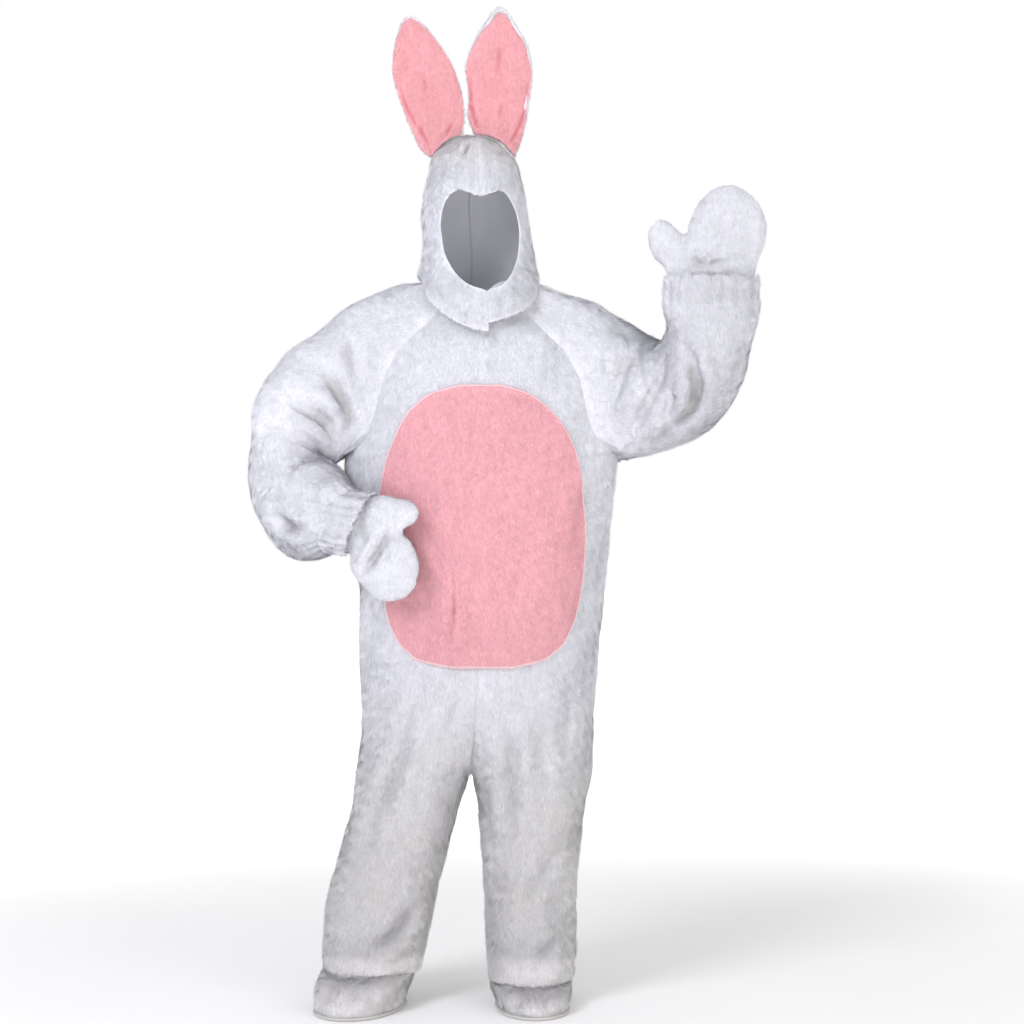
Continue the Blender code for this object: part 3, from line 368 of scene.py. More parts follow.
# Each sleeve's sections along the arm: the highest and lowest points of the tube on the garment's
# outline as x, y and height, and half the tube's depth. Share 0 is the neck, 1 the wrist elastic.
SLEEVE = {
    RIGHT: Sizes("share top_x top_y top_z low_x low_y low_z depth", """
        0 -0.104 0 1.434 -0.268 0 1.08 0.135, 0.1 -0.18 0 1.424 -0.282 0 1.07 0.128,
        0.2 -0.272 0 1.383 -0.294 0 1.064 0.121, 0.3 -0.336 0.005 1.333 -0.303 -0.005 1.066 0.116,
        0.4 -0.398 0.01 1.283 -0.31 -0.012 1.072 0.113, 0.5 -0.447 0.018 1.207 -0.313 -0.03 1.08 0.111,
        0.58 -0.453 0.022 1.123 -0.31 -0.052 1.084 0.108, 0.66 -0.434 0.016 1.04 -0.308 -0.084 1.08 0.103,
        0.74 -0.419 -0.006 0.962 -0.298 -0.112 1.07 0.095,
        0.82 -0.38 -0.054 0.893 -0.28 -0.138 1.05 0.084, 0.91 -0.337 -0.108 0.879 -0.262 -0.16 1.034 0.07,
        1 -0.3 -0.154 0.892 -0.242 -0.172 1.02 0.056
    """),
    LEFT: Sizes("share top_x top_y top_z low_x low_y low_z depth", """
        0 0.096 0 1.434 0.272 0 1.08 0.135, 0.1 0.165 0 1.414 0.286 0 1.077 0.126,
        0.2 0.23 -0.001 1.392 0.302 -0.001 1.08 0.12, 0.31 0.287 -0.008 1.356 0.338 -0.008 1.088 0.115,
        0.43 0.324 -0.026 1.326 0.413 -0.024 1.113 0.11, 0.54 0.338 -0.048 1.306 0.474 -0.044 1.156 0.105,
        0.65 0.35 -0.074 1.311 0.516 -0.066 1.232 0.096, 0.76 0.36 -0.095 1.333 0.531 -0.086 1.302 0.084,
        0.88 0.356 -0.11 1.361 0.543 -0.104 1.352 0.066, 1 0.349 -0.118 1.388 0.549 -0.118 1.391 0.05
    """),
}

# The gathered heading beyond the elastic: the two ends of its open mouth and half its depth.
CUFF_MOUTH = {
    RIGHT: ((-0.262, -0.165, 0.892), (-0.206, -0.179, 1.012), 0.052),
    LEFT: ((0.355, -0.121, 1.430), (0.542, -0.121, 1.431), 0.052),
}
# The heading's waves: how many, how far they stand out, and how far they lift the mouth's edge.
CUFF_WAVES = 18
CUFF_WAVE_HEIGHT = 0.0016
CUFF_EDGE_WAVE = 0.002

# The pink oval on the belly, as left and right edges at each height.
PATCH = Sizes("height left right", """
    0.674 -0.055 0.06, 0.684 -0.108 0.108, 0.704 -0.142 0.144, 0.74 -0.168 0.17, 0.8 -0.184 0.19,
    0.87 -0.19 0.199, 0.94 -0.195 0.202, 1 -0.196 0.199, 1.06 -0.186 0.19, 1.11 -0.17 0.175,
    1.15 -0.152 0.154, 1.185 -0.124 0.12, 1.208 -0.088 0.084, 1.221 -0.04 0.042
""")

# The placket's two ends, and its half width as a share of a panel's column.
PLACKET_BOTTOM = 0.80
PLACKET_TOP = 1.37
PLACKET_SHARE = 0.42


def folds(text):
    """Folds, one on each line of the text, in millimetres: how deep and how wide, then the points of the
    line along which it runs, each as x and height."""
    rows = [row.split(":") for row in text.strip().splitlines()]
    return [
        (*(float(size) / 1000 for size in sizes.split()),
         np.array([point.split() for point in line.split(",")], float) / 1000)
        for sizes, line in rows
    ]


# Broad folds that show on the fronts and backs.
FRONT_FOLDS = folds("""
    10 20: -112 610, -142 529, -200 400, -236 310
    9 18: 54 569, 52 460, 50 360
    9 16: -230 85, -165 140, -125 190
    6 14: -174 240, -154 205
    8 20: 150 330, 110 250, 100 170
    7 22: -4 870, -5 760, -7 680
""")
BACK_FOLDS = folds("""
    11 22: -120 640, -150 530, -180 420
    9 20: 110 650, 130 520, 120 400
    9 18: -240 200, -190 160, -140 150
    8 18: 50 230, 110 180, 160 170
    9 22: -200 1080, -130 1000, -80 960
    9 22: 210 1060, 140 990, 90 960
    7 20: -150 1230, -60 1190
    7 20: 140 1240, 60 1200
""")

# Folds of the sleeves. The front ones face the viewer, the back ones face away.
SLEEVE_FOLDS = {
    (RIGHT, FRONT): folds("""
        9 9: -304 1259, -276 1210, -253 1167, -248 1135, -265 1083
        11 6.5: -366 1186, -331 1167, -296 1147, -282 1110
        6 9: -265 1329, -261 1298, -244 1274, -232 1243
        9 9: -410 962, -388 948, -360 943
        5 6: -309 985, -306 965, -300 950
        6 6: -345 900, -320 905, -300 912
        4 9: -376 1060, -362 1078, -330 1083
        4 8: -435 1160, -425 1140, -400 1130
        4 10: -445 1010, -410 1020, -380 1005
        4 8: -330 1020, -320 990, -322 965
        -4 12: -345 1215, -300 1200, -283 1165
        -4 10: -370 1143, -335 1135, -305 1110
    """),
    (RIGHT, BACK): folds("""
        9 18: -390 1200, -330 1160, -300 1110
        8 16: -430 1060, -390 1040, -350 1060
    """),
    (LEFT, FRONT): folds("""
        6 10: 291 1302, 275 1260, 259 1212, 253 1165
        7 6.5: 353 1280, 343 1232, 321 1188, 297 1149, 283 1121
        6 6.5: 363 1204, 360 1180, 356 1155
        9.5 8.5: 389 1294, 411 1260, 415 1220, 411 1184, 385 1153, 345 1125, 321 1107
        3 8: 496 1388, 490 1372, 480 1360
        3 9: 429 1344, 433 1332, 448 1324
        3 6: 363 1384, 381 1382, 407 1386
        3 6: 508 1264, 490 1228, 477 1188
        -4 12: 381 1264, 393 1216, 377 1173
    """),
    (LEFT, BACK): folds("""
        11 18: 370 1290, 350 1210, 300 1130
        11 17: 410 1280, 440 1210, 420 1160
    """),
}

# The hood at each distance down the cloth from its crown.
HOOD = Sizes("down height right left front back", """
    0 1.728 -0.018 -0.018 0 0, 0.04 1.721 -0.056 0.019 0.044 0.048, 0.072 1.706 -0.079 0.044 0.066 0.075,
    0.105 1.679 -0.102 0.068 0.086 0.098, 0.145 1.64 -0.112 0.08 0.103 0.115,
    0.203 1.583 -0.122 0.092 0.115 0.127, 0.277 1.509 -0.122 0.102 0.118 0.124,
    0.331 1.455 -0.13 0.113 0.123 0.116, 0.387 1.4 -0.153 0.143 0.143 0.128,
    0.466 1.325 -0.176 0.166 0.16 0.15
""")
# How far the face is turned to the wearer's left.
FACE_TURN = np.radians(7)

# The face opening and the hood's lower edge, by the angle from the middle of the face.
OPENING = Sizes("step angle height", """
    0 0 1.5945, 0.14 12 1.594, 0.27 24 1.591, 0.4 36 1.58, 0.53 45 1.5475, 0.66 47 1.5, 0.78 40 1.456,
    0.88 26 1.426, 0.95 12 1.411, 1 0 1.406
""")
HOOD_HEM = {
    RIGHT: Sizes("angle height", """
        0 1.326, 14 1.334, 26 1.35, 39 1.374, 50 1.398, 60 1.422, 88 1.448, 130 1.436, 180 1.4
    """),
    LEFT: Sizes("angle height", """
        0 1.342, 14 1.354, 27 1.37, 40 1.39, 50 1.413, 60 1.429, 82 1.448, 130 1.434, 180 1.4
    """),
}
# The solids' rows above, beside and below the face opening, and how much closer they lie at the crown.
HOOD_ROWS_ABOVE = 7
HOOD_ROWS_BESIDE = 9
HOOD_ROWS_BELOW = 3
HOOD_COLUMNS = 11
CROWN_SPREAD = 0.8
# The share of the hood's rows after which they turn to follow the hem.
HEM_START = 0.3
# The arch over each eye: how high it lifts the opening's edge, the angle where it ends, and how far up
# and down the cloth it reaches.
ARCH_LIFT = 0.014
ARCH_END = 48
ARCH_REACH = 0.045

# Ear outlines from the outer end of the base, over the tip and down: x, height and the width of the
# white border that shows round the pink front.
EAR = {
    RIGHT: Sizes("step x height border", """
        0 -0.103 1.679 0.002, 1 -0.124 1.697 0.001, 2 -0.142 1.736 0.0005, 3 -0.164 1.788 0.0005,
        4 -0.181 1.85 0.0005, 5 -0.18 1.896 0.0005, 6 -0.171 1.938 0.001, 6.6 -0.161 1.961 0.002,
        7 -0.147 1.9715 0.004, 7.4 -0.13 1.966 0.004, 8 -0.113 1.951 0.003, 9 -0.084 1.913 0.002,
        10 -0.055 1.864 0.001, 11 -0.038 1.815 0.0005, 12 -0.034 1.775 0.0005, 13 -0.034 1.744 0.0005,
        14 -0.038 1.7264 0.002
    """),
    LEFT: Sizes("step x height border", """
        0 0.069 1.6848 0.001, 1 0.074 1.697 0.001, 2 0.089 1.744 0.002, 3 0.098 1.791 0.002,
        4 0.104 1.846 0.003, 5 0.1 1.887 0.004, 6 0.084 1.931 0.006, 7 0.066 1.959 0.009,
        7.6 0.049 1.982 0.012, 8 0.036 1.987 0.012, 8.4 0.023 1.982 0.01, 9 0.006 1.96 0.006,
        10 -0.022 1.911 0.003, 11 -0.036 1.862 0.0005, 12 -0.03 1.806 0.0005, 13 -0.029 1.758 0.001,
        14 -0.019 1.729 0.003
    """),
}
# How far each half of an ear stands out, how far in from the outline it reaches that, the gap over the
# hood, the height of the ear's heart, and how far the front's base lies over the back's.
EAR_DEPTH = {FRONT: 0.008, BACK: 0.014}
EAR_REACH = 0.045
EAR_BASE_GAP = 0.0013
EAR_HEART_HEIGHT = 1.83
EAR_FRONT_RISE = 0.003

# Mitt outlines beyond the cuff, from the wrist's thumb side round the fingers: x and height.
MITT = {
    RIGHT: Sizes("step x height", """
        0 -0.2118 1.0064, 1 -0.186 1.007, 2 -0.155 1.004, 3 -0.131 0.997, 4 -0.117 0.975, 5 -0.127 0.953,
        6 -0.147 0.938, 7 -0.131 0.92, 8 -0.12 0.892, 9 -0.117 0.863, 10 -0.124 0.833, 11 -0.146 0.809,
        12 -0.182 0.804, 13 -0.228 0.831, 14 -0.251 0.862, 15 -0.2533 0.8956
    """),
    LEFT: Sizes("step x height", """
        0 0.3618 1.43, 1 0.352 1.451, 2 0.335 1.468, 3 0.325 1.496, 4 0.328 1.53, 5 0.345 1.545,
        6 0.366 1.541, 7 0.396 1.516, 8 0.406 1.546, 9 0.424 1.582, 10 0.454 1.606, 11 0.498 1.61,
        12 0.536 1.582, 13 0.557 1.537, 14 0.556 1.5, 15 0.541 1.462, 16 0.535 1.431
    """),
}
# The mitt's wrist edge inside the sleeve, the middle of its palm, and its plane: y where x is the
# plane's origin, and how y changes with x.
MITT_WRIST = {
    RIGHT: ((-0.2692, 0.9054), (-0.2288, 1.0006)),
    LEFT: ((0.5366, 1.404), (0.3608, 1.404)),
}
MITT_HEART = {RIGHT: (-0.190, 0.922), LEFT: (0.436, 1.455)}
MITT_PLANE = {RIGHT: (-0.234, -0.172, -0.28), LEFT: (0.45, -0.121, 0.0)}
MITT_DEPTH = 0.027
MITT_REACH = 0.045

# Each foot cover: the middle of its sole, half its width and length, and how far the toes turn out.
FOOT = {
    RIGHT: (-0.236, -0.062, 0.082, 0.138, 16.0),
    LEFT: (0.100, -0.055, 0.072, 0.136, 4.0),
}
# The sole: its thickness, how far its edge stands out, and where the rings of its flat faces lie.
SOLE_THICKNESS = 0.006
SOLE_EDGE = 0.002
SOLE_RINGS = (0, 0.3, 0.6, 0.85)
# The upper: the solid's rows over the toes, how far it runs up inside the hem, the gap under the hem, how
# far its sides swell, how blunt the toe is, and the powers that round it inwards and upwards.
FOOT_CROWN_ROWS = 4
FOOT_TUCK = 0.024
FOOT_UNDER_HEM = 0.0012
FOOT_SWELL = 0.006
TOE_BLUNTNESS = 0.10
FOOT_ROUND_IN = 0.9
FOOT_ROUND_UP = 0.85

# Creases that are too fine for the solids. A trough has a low bank on both sides, and a depth below zero
# is a ridge.
FRONT_CREASES = folds("""
    6 13: -120 640, -150 545, -190 419, -236 320
    4 11: -35 640, -75 535
    3 5: -166 243, -154 223, -143 206
    9 12: -226 105, -170 150, -120 215
    6 12: 52 583, 54 480, 48 360
    4 12: 118 570, 120 480, 112 420
    5 14: 156 130, 120 105, 100 80
    3 10: 140 300, 100 230, 80 200
    3 10: 165 150, 120 115, 70 120
    3 12: -210 640, -190 560, -200 500
    3 12: 190 640, 160 540, 165 470
    3 10: -10 500, -50 465, -85 450
    3 10: 0 500, 40 468, 80 455
    3 14: 240 1060, 200 1000, 190 900
    3 14: -235 1060, -215 1000, -212 930
    2 10: -150 100, -190 88, -260 95
    2 10: 50 85, 100 75, 150 83
""")
# A crease that shows on the belly patch only.
PATCH_CREASE = folds("5 7: -55 870, -53 790, -58 700")
BACK_CREASES = folds("""
    4 12: -120 640, -150 530, -180 420
    4 12: 110 650, 130 520, 120 400
    3 12: -240 200, -190 160, -140 150
    3 12: 50 230, 110 180, 160 170
    4 14: -200 1080, -130 1000, -80 960
    4 14: 210 1060, 140 990, 90 960
    3 12: -10 560, -50 500, -90 480
    3 12: -5 560, 40 500, 80 480
    3 12: -170 880, -120 840, -60 830
    3 12: 180 860, 120 820, 70 815
""")
SLEEVE_CREASES = {
    (RIGHT, FRONT): folds("""
        7 11: -363 1185, -307 1159, -283 1116, -263 1073
        6 10: -312 1263, -267 1195, -254 1155, -267 1077
        5 11: -267 1332, -258 1293, -238 1224
        6 10: -375 1057, -356 1087, -316 1097
        6 10: -405 968, -375 945, -345 938
        4 10: -440 1130, -400 1140, -370 1130
        4 10: -445 1010, -410 1020, -380 1005
        4 9: -330 1020, -315 985, -318 955
        -4 12: -345 1215, -300 1200, -283 1165
    """),
    (RIGHT, BACK): folds("""
        5 12: -390 1200, -330 1160, -300 1110
        5 12: -430 1060, -390 1040, -350 1060
        4 12: -440 990, -400 980, -360 1000
        4 12: -250 1330, -240 1260, -250 1200
    """),
    (LEFT, FRONT): folds("""
        6 11: 301 1312, 268 1244, 256 1195
        6 11: 354 1293, 331 1214, 282 1116
        4 9: 356 1224, 364 1195, 356 1155
        8 10: 393 1283, 419 1214, 409 1175, 321 1102
        4 10: 252 1351, 282 1333, 311 1316
        3 9: 523 1302, 478 1204
        4 10: 440 1300, 462 1250, 470 1215
        3 10: 230 1230, 245 1170, 262 1120
        -4 12: 372 1265, 385 1215, 372 1175
    """),
    (LEFT, BACK): folds("""
        6 12: 370 1290, 350 1210, 300 1130
        6 12: 410 1280, 440 1210, 420 1160
        4 12: 290 1320, 270 1250, 265 1180
        4 10: 470 1310, 485 1260, 480 1220
    """),
}
HOOD_CREASES = folds("""
    4 10: -93 1441, -72 1400, -56 1367
    3 8: 42 1405, 35 1390, 26 1372
    3 8: 72 1455, 66 1430, 72 1410
    3 7: -8 1392, -6 1370, -10 1350
    3 7: 10 1395, 12 1378
    6 4: -26 1712, -29 1698, -36 1680
    3 8: -34 1383, -30 1372, -30 1355
""")
EAR_CREASES = {
    RIGHT: folds("""
        1.6 4: -166 1840, -156 1795, -134 1751, -103 1692
        1.6 3.5: -128 1763, -114 1725, -102 1700
        1.6 4: -55 1765, -64 1742, -86 1702
        0.9 6: -120 1860, -114 1825, -118 1790
        0.9 5: -142 1900, -150 1870, -148 1840
    """),
    LEFT: folds("""
        1.6 4: 92 1849, 88 1790, 75 1740, 54 1700
        1.6 3.5: 75 1758, 64 1726, 50 1708
        1.8 5: -24 1850, -22 1790, -11 1745, 6 1715
        0.9 7: 36 1930, 32 1870, 36 1820
        0.9 6: 40 1800, 34 1770, 38 1745
    """),
}
MITT_CREASES = {
    RIGHT: folds("""
        10 8: -168 950, -196 904, -229 860
        3 8: -150 960, -185 968, -210 985
        3 8: -235 960, -225 930, -228 905
    """),
    LEFT: folds("""
        5 6: 393 1462, 417 1456, 448 1453, 472 1458, 494 1465
        3 8: 372 1500, 398 1508
        3 9: 400 1440, 420 1450, 440 1440
    """),
}
FOOT_CREASES = folds("""
    3 8: 60 20, 72 35, 76 45
    2 8: 128 30, 118 42
    3 8: -300 30, -285 50
    3 8: -200 30, -210 55
""")


def unit(vectors):
    """Each vector at length one."""
    length = np.linalg.norm(vectors, axis=-1, keepdims=True)
    return vectors / np.maximum(length, 1e-12)


def stack(*parts):
    """The parts of each point, such as x, y and height, put together."""
    return np.stack(np.broadcast_arrays(*parts), axis=-1).astype(float)


def nearest_on(line, x, height):
    """The distance from each point to a line of straight runs, and the share of the line reached there."""
    along = np.concatenate([[0], np.cumsum(np.hypot(*np.diff(line, axis=0).T))])
    nearest = np.full(np.broadcast(x, height).shape, np.inf)
    place = np.zeros(nearest.shape)
    for i, (start, end) in enumerate(zip(line[:-1], line[1:])):
        run = end - start
        t = np.clip(((x - start[0]) * run[0] + (height - start[1]) * run[1]) / (run @ run), 0, 1)
        away = np.hypot(x - start[0] - t * run[0], height - start[1] - t * run[1])
        closer = away < nearest
        nearest = np.where(closer, away, nearest)
        place = np.where(closer, along[i] + t * (along[i + 1] - along[i]), place)
    return nearest, place / along[-1]


def fade(place, ends):
    """How deep a trough is along its line: the part of a half wave between the two ends."""
    return np.sin(np.pi * (ends[0] + ends[1] * place))


def bell(away, width):
    """A bell curve: 1 in the middle, and e to the power of minus 1 a width away."""
    return np.exp(-((away / width) ** 2))


def facing(inward, face, soon):
    """How squarely the cloth faces front or back, from 0 to 1: the way in's y, times how soon it counts."""
    return np.clip(soon * face * inward[..., 1], 0, 1)


def fold_depth(troughs, x, height):
    """Troughs with a soft round section along each fold's line, fading at the line's ends."""
    total = 0.0
    for depth, width, line in troughs:
        away, place = nearest_on(line, x, height)
        total = total + depth * fade(place, FOLD_ENDS) * bell(away, width)
    return total


def crease_depth(creases, points):
    """As a fold, with a low bank on both sides: a bell curve less a weaker one that stands off it."""
    total = 0.0
    for depth, width, line in creases:
        away, place = nearest_on(line, points[..., 0], points[..., 2])
        wide = width * CREASE_WIDER
        shape = bell(away, wide) - BANK_SHARE * bell(away - 2 * wide, wide)
        total = total + depth * CREASE_DEEPER * fade(place, CREASE_ENDS) * shape
    return total


def wander(points, length, seed, count=9):
    """A soft random field in space: sine waves of about one length in many directions, added up."""
    rng = np.random.default_rng(seed)
    way = unit(rng.normal(size=(count, 3))) * 2 * np.pi / (length * rng.uniform(*WAVE_SPREAD, (count, 1)))
    phase = rng.uniform(0, 2 * np.pi, count)
    return np.sin(points @ way.T + phase).sum(axis=-1) / np.sqrt(count / 2)


def grid_inward(grid, closed, turn):
    """The grid's own normals, towards the inside where turn is right: the cross of its two directions."""
    if closed:
        around = np.roll(grid, -1, axis=1) - np.roll(grid, 1, axis=1)
    else:
        around = np.gradient(grid, axis=1)
    return unit(turn * np.cross(around, np.gradient(grid, axis=0)))


def section(side, height):
    """Middle, half width and wrap of the ellipse that one half of the jumpsuit follows at a height."""
    outer = TRUNK.read(SIDE_NAMES[side], height)
    crotch = height >= CROTCH_HEIGHT
    inner = np.where(crotch, TRUNK.read("middle", height), INSEAM[side].read("x", height))
    wrap = np.where(crotch, np.clip(TRUNK.read("wrap", height), 0, 1), 1.0)
    width = side * (outer - inner) / (1 + wrap)
    return outer - side * width, width, wrap


def round_body(side, face, angle, height):
    """A point of the jumpsuit at an angle round its ellipse, with its folds, and its way in."""
    centre, width, _ = section(side, height)
    depth = TRUNK.read(FACE_NAMES[face], height)
    x = centre + side * width * np.cos(angle)
    shown = FRONT_FOLDS if face == FRONT else BACK_FOLDS
    dent = fold_depth(shown, x, height) * np.clip(FOLD_FACING * np.sin(angle), 0, 1)
    y = -face * (depth * np.sin(angle) - dent)
    inward = stack(-side * np.cos(angle) / width, face * np.sin(angle) / depth, 0 * angle)
    return stack(x, y, height), unit(inward)


def body(side, face, across, height):
    """A point of the jumpsuit and its way in. Across runs from the side or sleeve seam (0) to the
    centre seam or inseam (1): an angle round an ellipse, so x is a cosine and y a sine of it."""
    centre, width, wrap = section(side, height)
    seam = np.where(height > UNDERARM_HEIGHT, RAGLAN.read(FACE_NAMES[face], height), 1.0)
    start = np.arccos(np.clip((seam - side * centre) / width, -1, 1))
    angle = start + (np.arccos(-wrap) - start) * across
    points, inward = round_body(side, face, angle, height)
    middle = TRUNK.read("middle", height)
    apart = np.maximum(side * (points[..., 0] - middle), HALF_SEAM)
    points[..., 0] = np.where(height >= CROTCH_HEIGHT, middle + side * apart, points[..., 0])
    return points, inward


def trunk_at(face, x, height):
    """The point of the jumpsuit's front or back at any x and height above the crotch."""
    middle = TRUNK.read("middle", height)
    found = []
    for side in (RIGHT, LEFT):
        centre, width, _ = section(side, height)
        angle = np.arccos(np.clip(side * (x - centre) / width, -1, 1))
        found.append(round_body(side, face, angle, height))
    on_left = (x > middle)[..., None]
    return tuple(np.where(on_left, left, right) for right, left in zip(*found))


def sleeve_loop(side, finer):
    """The seam where a sleeve joins the body, from the underarm up the front, round the neck and down
    the back, with the body's own way in at each point."""
    yoke = np.linspace(UNDERARM_HEIGHT, NECK_HEIGHT, finer * YOKE_ROWS + 1)
    up, up_in = body(side, FRONT, 0, yoke)
    down, down_in = body(side, BACK, 0, yoke)
    centre, width, _ = section(side, NECK_HEIGHT)
    first = np.arccos((side * up[-1, 0] - side * centre) / width)
    last = np.arccos((side * down[-1, 0] - side * centre) / width)
    angle = np.linspace(first, -last, finer * NECK_COLUMNS + 1)[1:-1]
    reach = np.where(angle > 0, TRUNK.read("front", NECK_HEIGHT), TRUNK.read("back", NECK_HEIGHT))
    rise = NECK_RISE * np.cos(angle)
    neck = stack(centre + side * width * np.cos(angle), -reach * np.sin(angle), NECK_HEIGHT + rise)
    neck_in = unit(stack(-side * np.cos(angle), np.sin(angle), 0 * angle))
    return np.concatenate([up, neck, down[:0:-1]]), np.concatenate([up_in, neck_in, down_in[:0:-1]])


def sleeve_ring(side, share, around):
    """The arm's tube: an ellipse between the outline's high and low points at each share of the arm."""
    table = SLEEVE[side]
    step = 0.01

    def ends(at):
        return [stack(*(table.read(f"{end}_{axis}", at) for axis in "xyz")) for end in ("top", "low")]

    top, low = ends(share)
    middle = (top + low) / 2
    ahead = sum(ends(np.minimum(share + step, 1))) - sum(ends(np.maximum(share - step, 0)))
    half = top - middle
    forward = side * unit(np.cross(ahead, half))
    depth = table.read("depth", share)[..., None]
    turn = 2 * np.pi * around[..., None]
    return middle - half * np.cos(turn) + forward * depth * np.sin(turn)


def sleeve_points(side):
    """The seam's loop passes into the arm's tube, with the broad folds, then the gathers at the elastic."""
    loop, loop_in = sleeve_loop(side, SLEEVE_FINER)
    around, share = np.meshgrid(np.arange(len(loop)) / len(loop), np.linspace(0, 1, SLEEVE_FINE_ROWS))
    tube = sleeve_ring(side, share, around)
    passed = np.clip(share / SEAM_HOLD, 0, 1)
    hold = (1 - passed) ** 2 * (1 + 2 * passed)
    grid = tube + (loop - tube[0]) * hold[..., None]
    inward = grid_inward(grid, True, side)
    for face in (FRONT, BACK):
        grown = np.clip(share / FOLDS_COME_IN, 0, 1) * np.clip((1 - share) / SLEEVE_END, 0, 1)
        dent = fold_depth(SLEEVE_FOLDS[side, face], grid[..., 0], grid[..., 2])
        dent = dent * facing(inward, face, FOLD_FACING) * grown
        grid = grid + inward * dent[..., None]
    inward = grid_inward(grid, True, side)
    inward[0] = loop_in
    inward[-1] = unit(grid[-1].mean(axis=0) - grid[-1])
    return grid, inward, share, around


def cuff_points(side):
    """The gathered heading: from the elastic to the mouth, with uneven waves that grow to the mouth."""
    rows = np.linspace(0, 1, CUFF_FINE_ROWS)
    around, share = np.meshgrid(np.arange(CUFF_FINE_COLUMNS) / CUFF_FINE_COLUMNS, rows)
    elastic = sleeve_ring(side, np.ones_like(around), around)
    top, low, depth = map(np.array, CUFF_MOUTH[side])
    middle = (top + low) / 2
    start = sleeve_ring(side, np.ones(2), np.array([0.0, 0.5])).mean(axis=0)
    forward = side * unit(np.cross(middle - start, top - middle))
    turn = 2 * np.pi * around[..., None]
    mouth = middle - (top - middle) * np.cos(turn) + forward * depth * np.sin(turn)
    grid = elastic + (mouth - elastic) * share[..., None]
    wave = np.sin(gather_turns(around, CUFF_WAVES)) * share
    grid = grid + unit(mouth - middle) * (wave * CUFF_WAVE_HEIGHT)[..., None]
    mouth_edge = np.cos(gather_turns(around, CUFF_WAVES)) * share**2 * CUFF_EDGE_WAVE
    grid = grid + unit(middle - start) * mouth_edge[..., None]
    return grid, unit(grid.mean(axis=1, keepdims=True) - grid)


def gather_turns(around, waves):
    """The phase of gathers round a mouth: even waves, each pushed a little to one side."""
    slow, quick = GATHER_PUSH
    even = 2 * np.pi * waves * around
    return even + slow * np.sin(4 * np.pi * around + 1) + quick * np.sin(10 * np.pi * around)


def end_steps(count):
    """Shares from 0 to 1 that lie closer together towards both ends, as a cosine does."""
    return (1 - np.cos(np.linspace(0, np.pi, count))) / 2


def patch_points():
    """The oval on the two fronts: rows closer together at its ends, each from one edge to the other."""
    heights = PATCH.key[0] + (PATCH.key[-1] - PATCH.key[0]) * end_steps(PATCH_ROWS)
    share, height = np.meshgrid(end_steps(PATCH_COLUMNS), heights)
    left = PATCH.read("left", height)
    x = left + (PATCH.read("right", height) - left) * share
    points, inward = trunk_at(FRONT, x, height)
    return points - (PATCH_GAP + WALL) * inward, inward


def placket_points():
    """The strip over the back opening: the backs' own points on both sides of their centre seam."""
    heights = np.linspace(PLACKET_BOTTOM, PLACKET_TOP, PLACKET_ROWS)
    share, height = np.meshgrid(np.linspace(-1, 1, PLACKET_COLUMNS), heights)
    across = 1 - np.abs(share) * PLACKET_SHARE / PANEL_COLUMNS
    right, right_in = body(RIGHT, BACK, across, height)
    left, left_in = body(LEFT, BACK, across, height)
    on_left = (share > 0)[..., None]
    inward = np.where(on_left, left_in, right_in)
    return np.where(on_left, left, right) - (LAID_GAP + TRIM_WALL) * inward, inward


def hood_point(angle, down):
    """The hood's surface: an ellipse at each distance down from the crown. Angle 0 is the front."""
    right, left, front, back = (HOOD.read(name, down) for name in ("right", "left", "front", "back"))
    middle = (right + left) / 2
    depth = np.where(np.cos(angle) > 0, front, back)
    x = middle + (left - right) / 2 * np.sin(angle)
    return stack(x, -depth * np.cos(angle), HOOD.read("height", down))


def hood_down(height):
    """The distance down the hood's cloth at a height, below the crown."""
    down = np.linspace(0, HOOD.key[-1], HOOD_MEASURED)
    return np.interp(-np.asarray(height), -HOOD.read("height", down), down)


def arch_lift(angle, down, brow):
    """How far the cloth rises in an arch on each side of the brow: a sine's square round the face,
    fading above and below the brow."""
    arch = np.sin(np.pi * np.clip(np.degrees(angle) / ARCH_END, 0, 1)) ** 2
    return ARCH_LIFT * arch * bell(down - brow, ARCH_REACH)


def hood_edge(side, finer):
    """The hood half's front edge from crown to hem: crown seam, face opening, chin seam."""
    above = hood_down(OPENING.column["height"][0])
    below = hood_down(OPENING.column["height"][-1])
    hem = hood_down(HOOD_HEM[side].column["height"][0])
    step = np.linspace(0, 1, finer * HOOD_ROWS_BESIDE + 1)
    crown = np.linspace(0, 1, finer * HOOD_ROWS_ABOVE + 1)[:-1] ** CROWN_SPREAD * above
    chin = np.linspace(below, hem, finer * HOOD_ROWS_BELOW + 1)[1:]
    angle = np.concatenate([0 * crown, OPENING.read("angle", step), 0 * chin])
    down = np.concatenate([crown, hood_down(OPENING.read("height", step)), chin])
    back_hem = hood_down(HOOD_HEM[side].column["height"][-1])
    back = np.concatenate([crown, above + (below - above) * step, chin]) * back_hem / hem
    return np.radians(angle), down, back


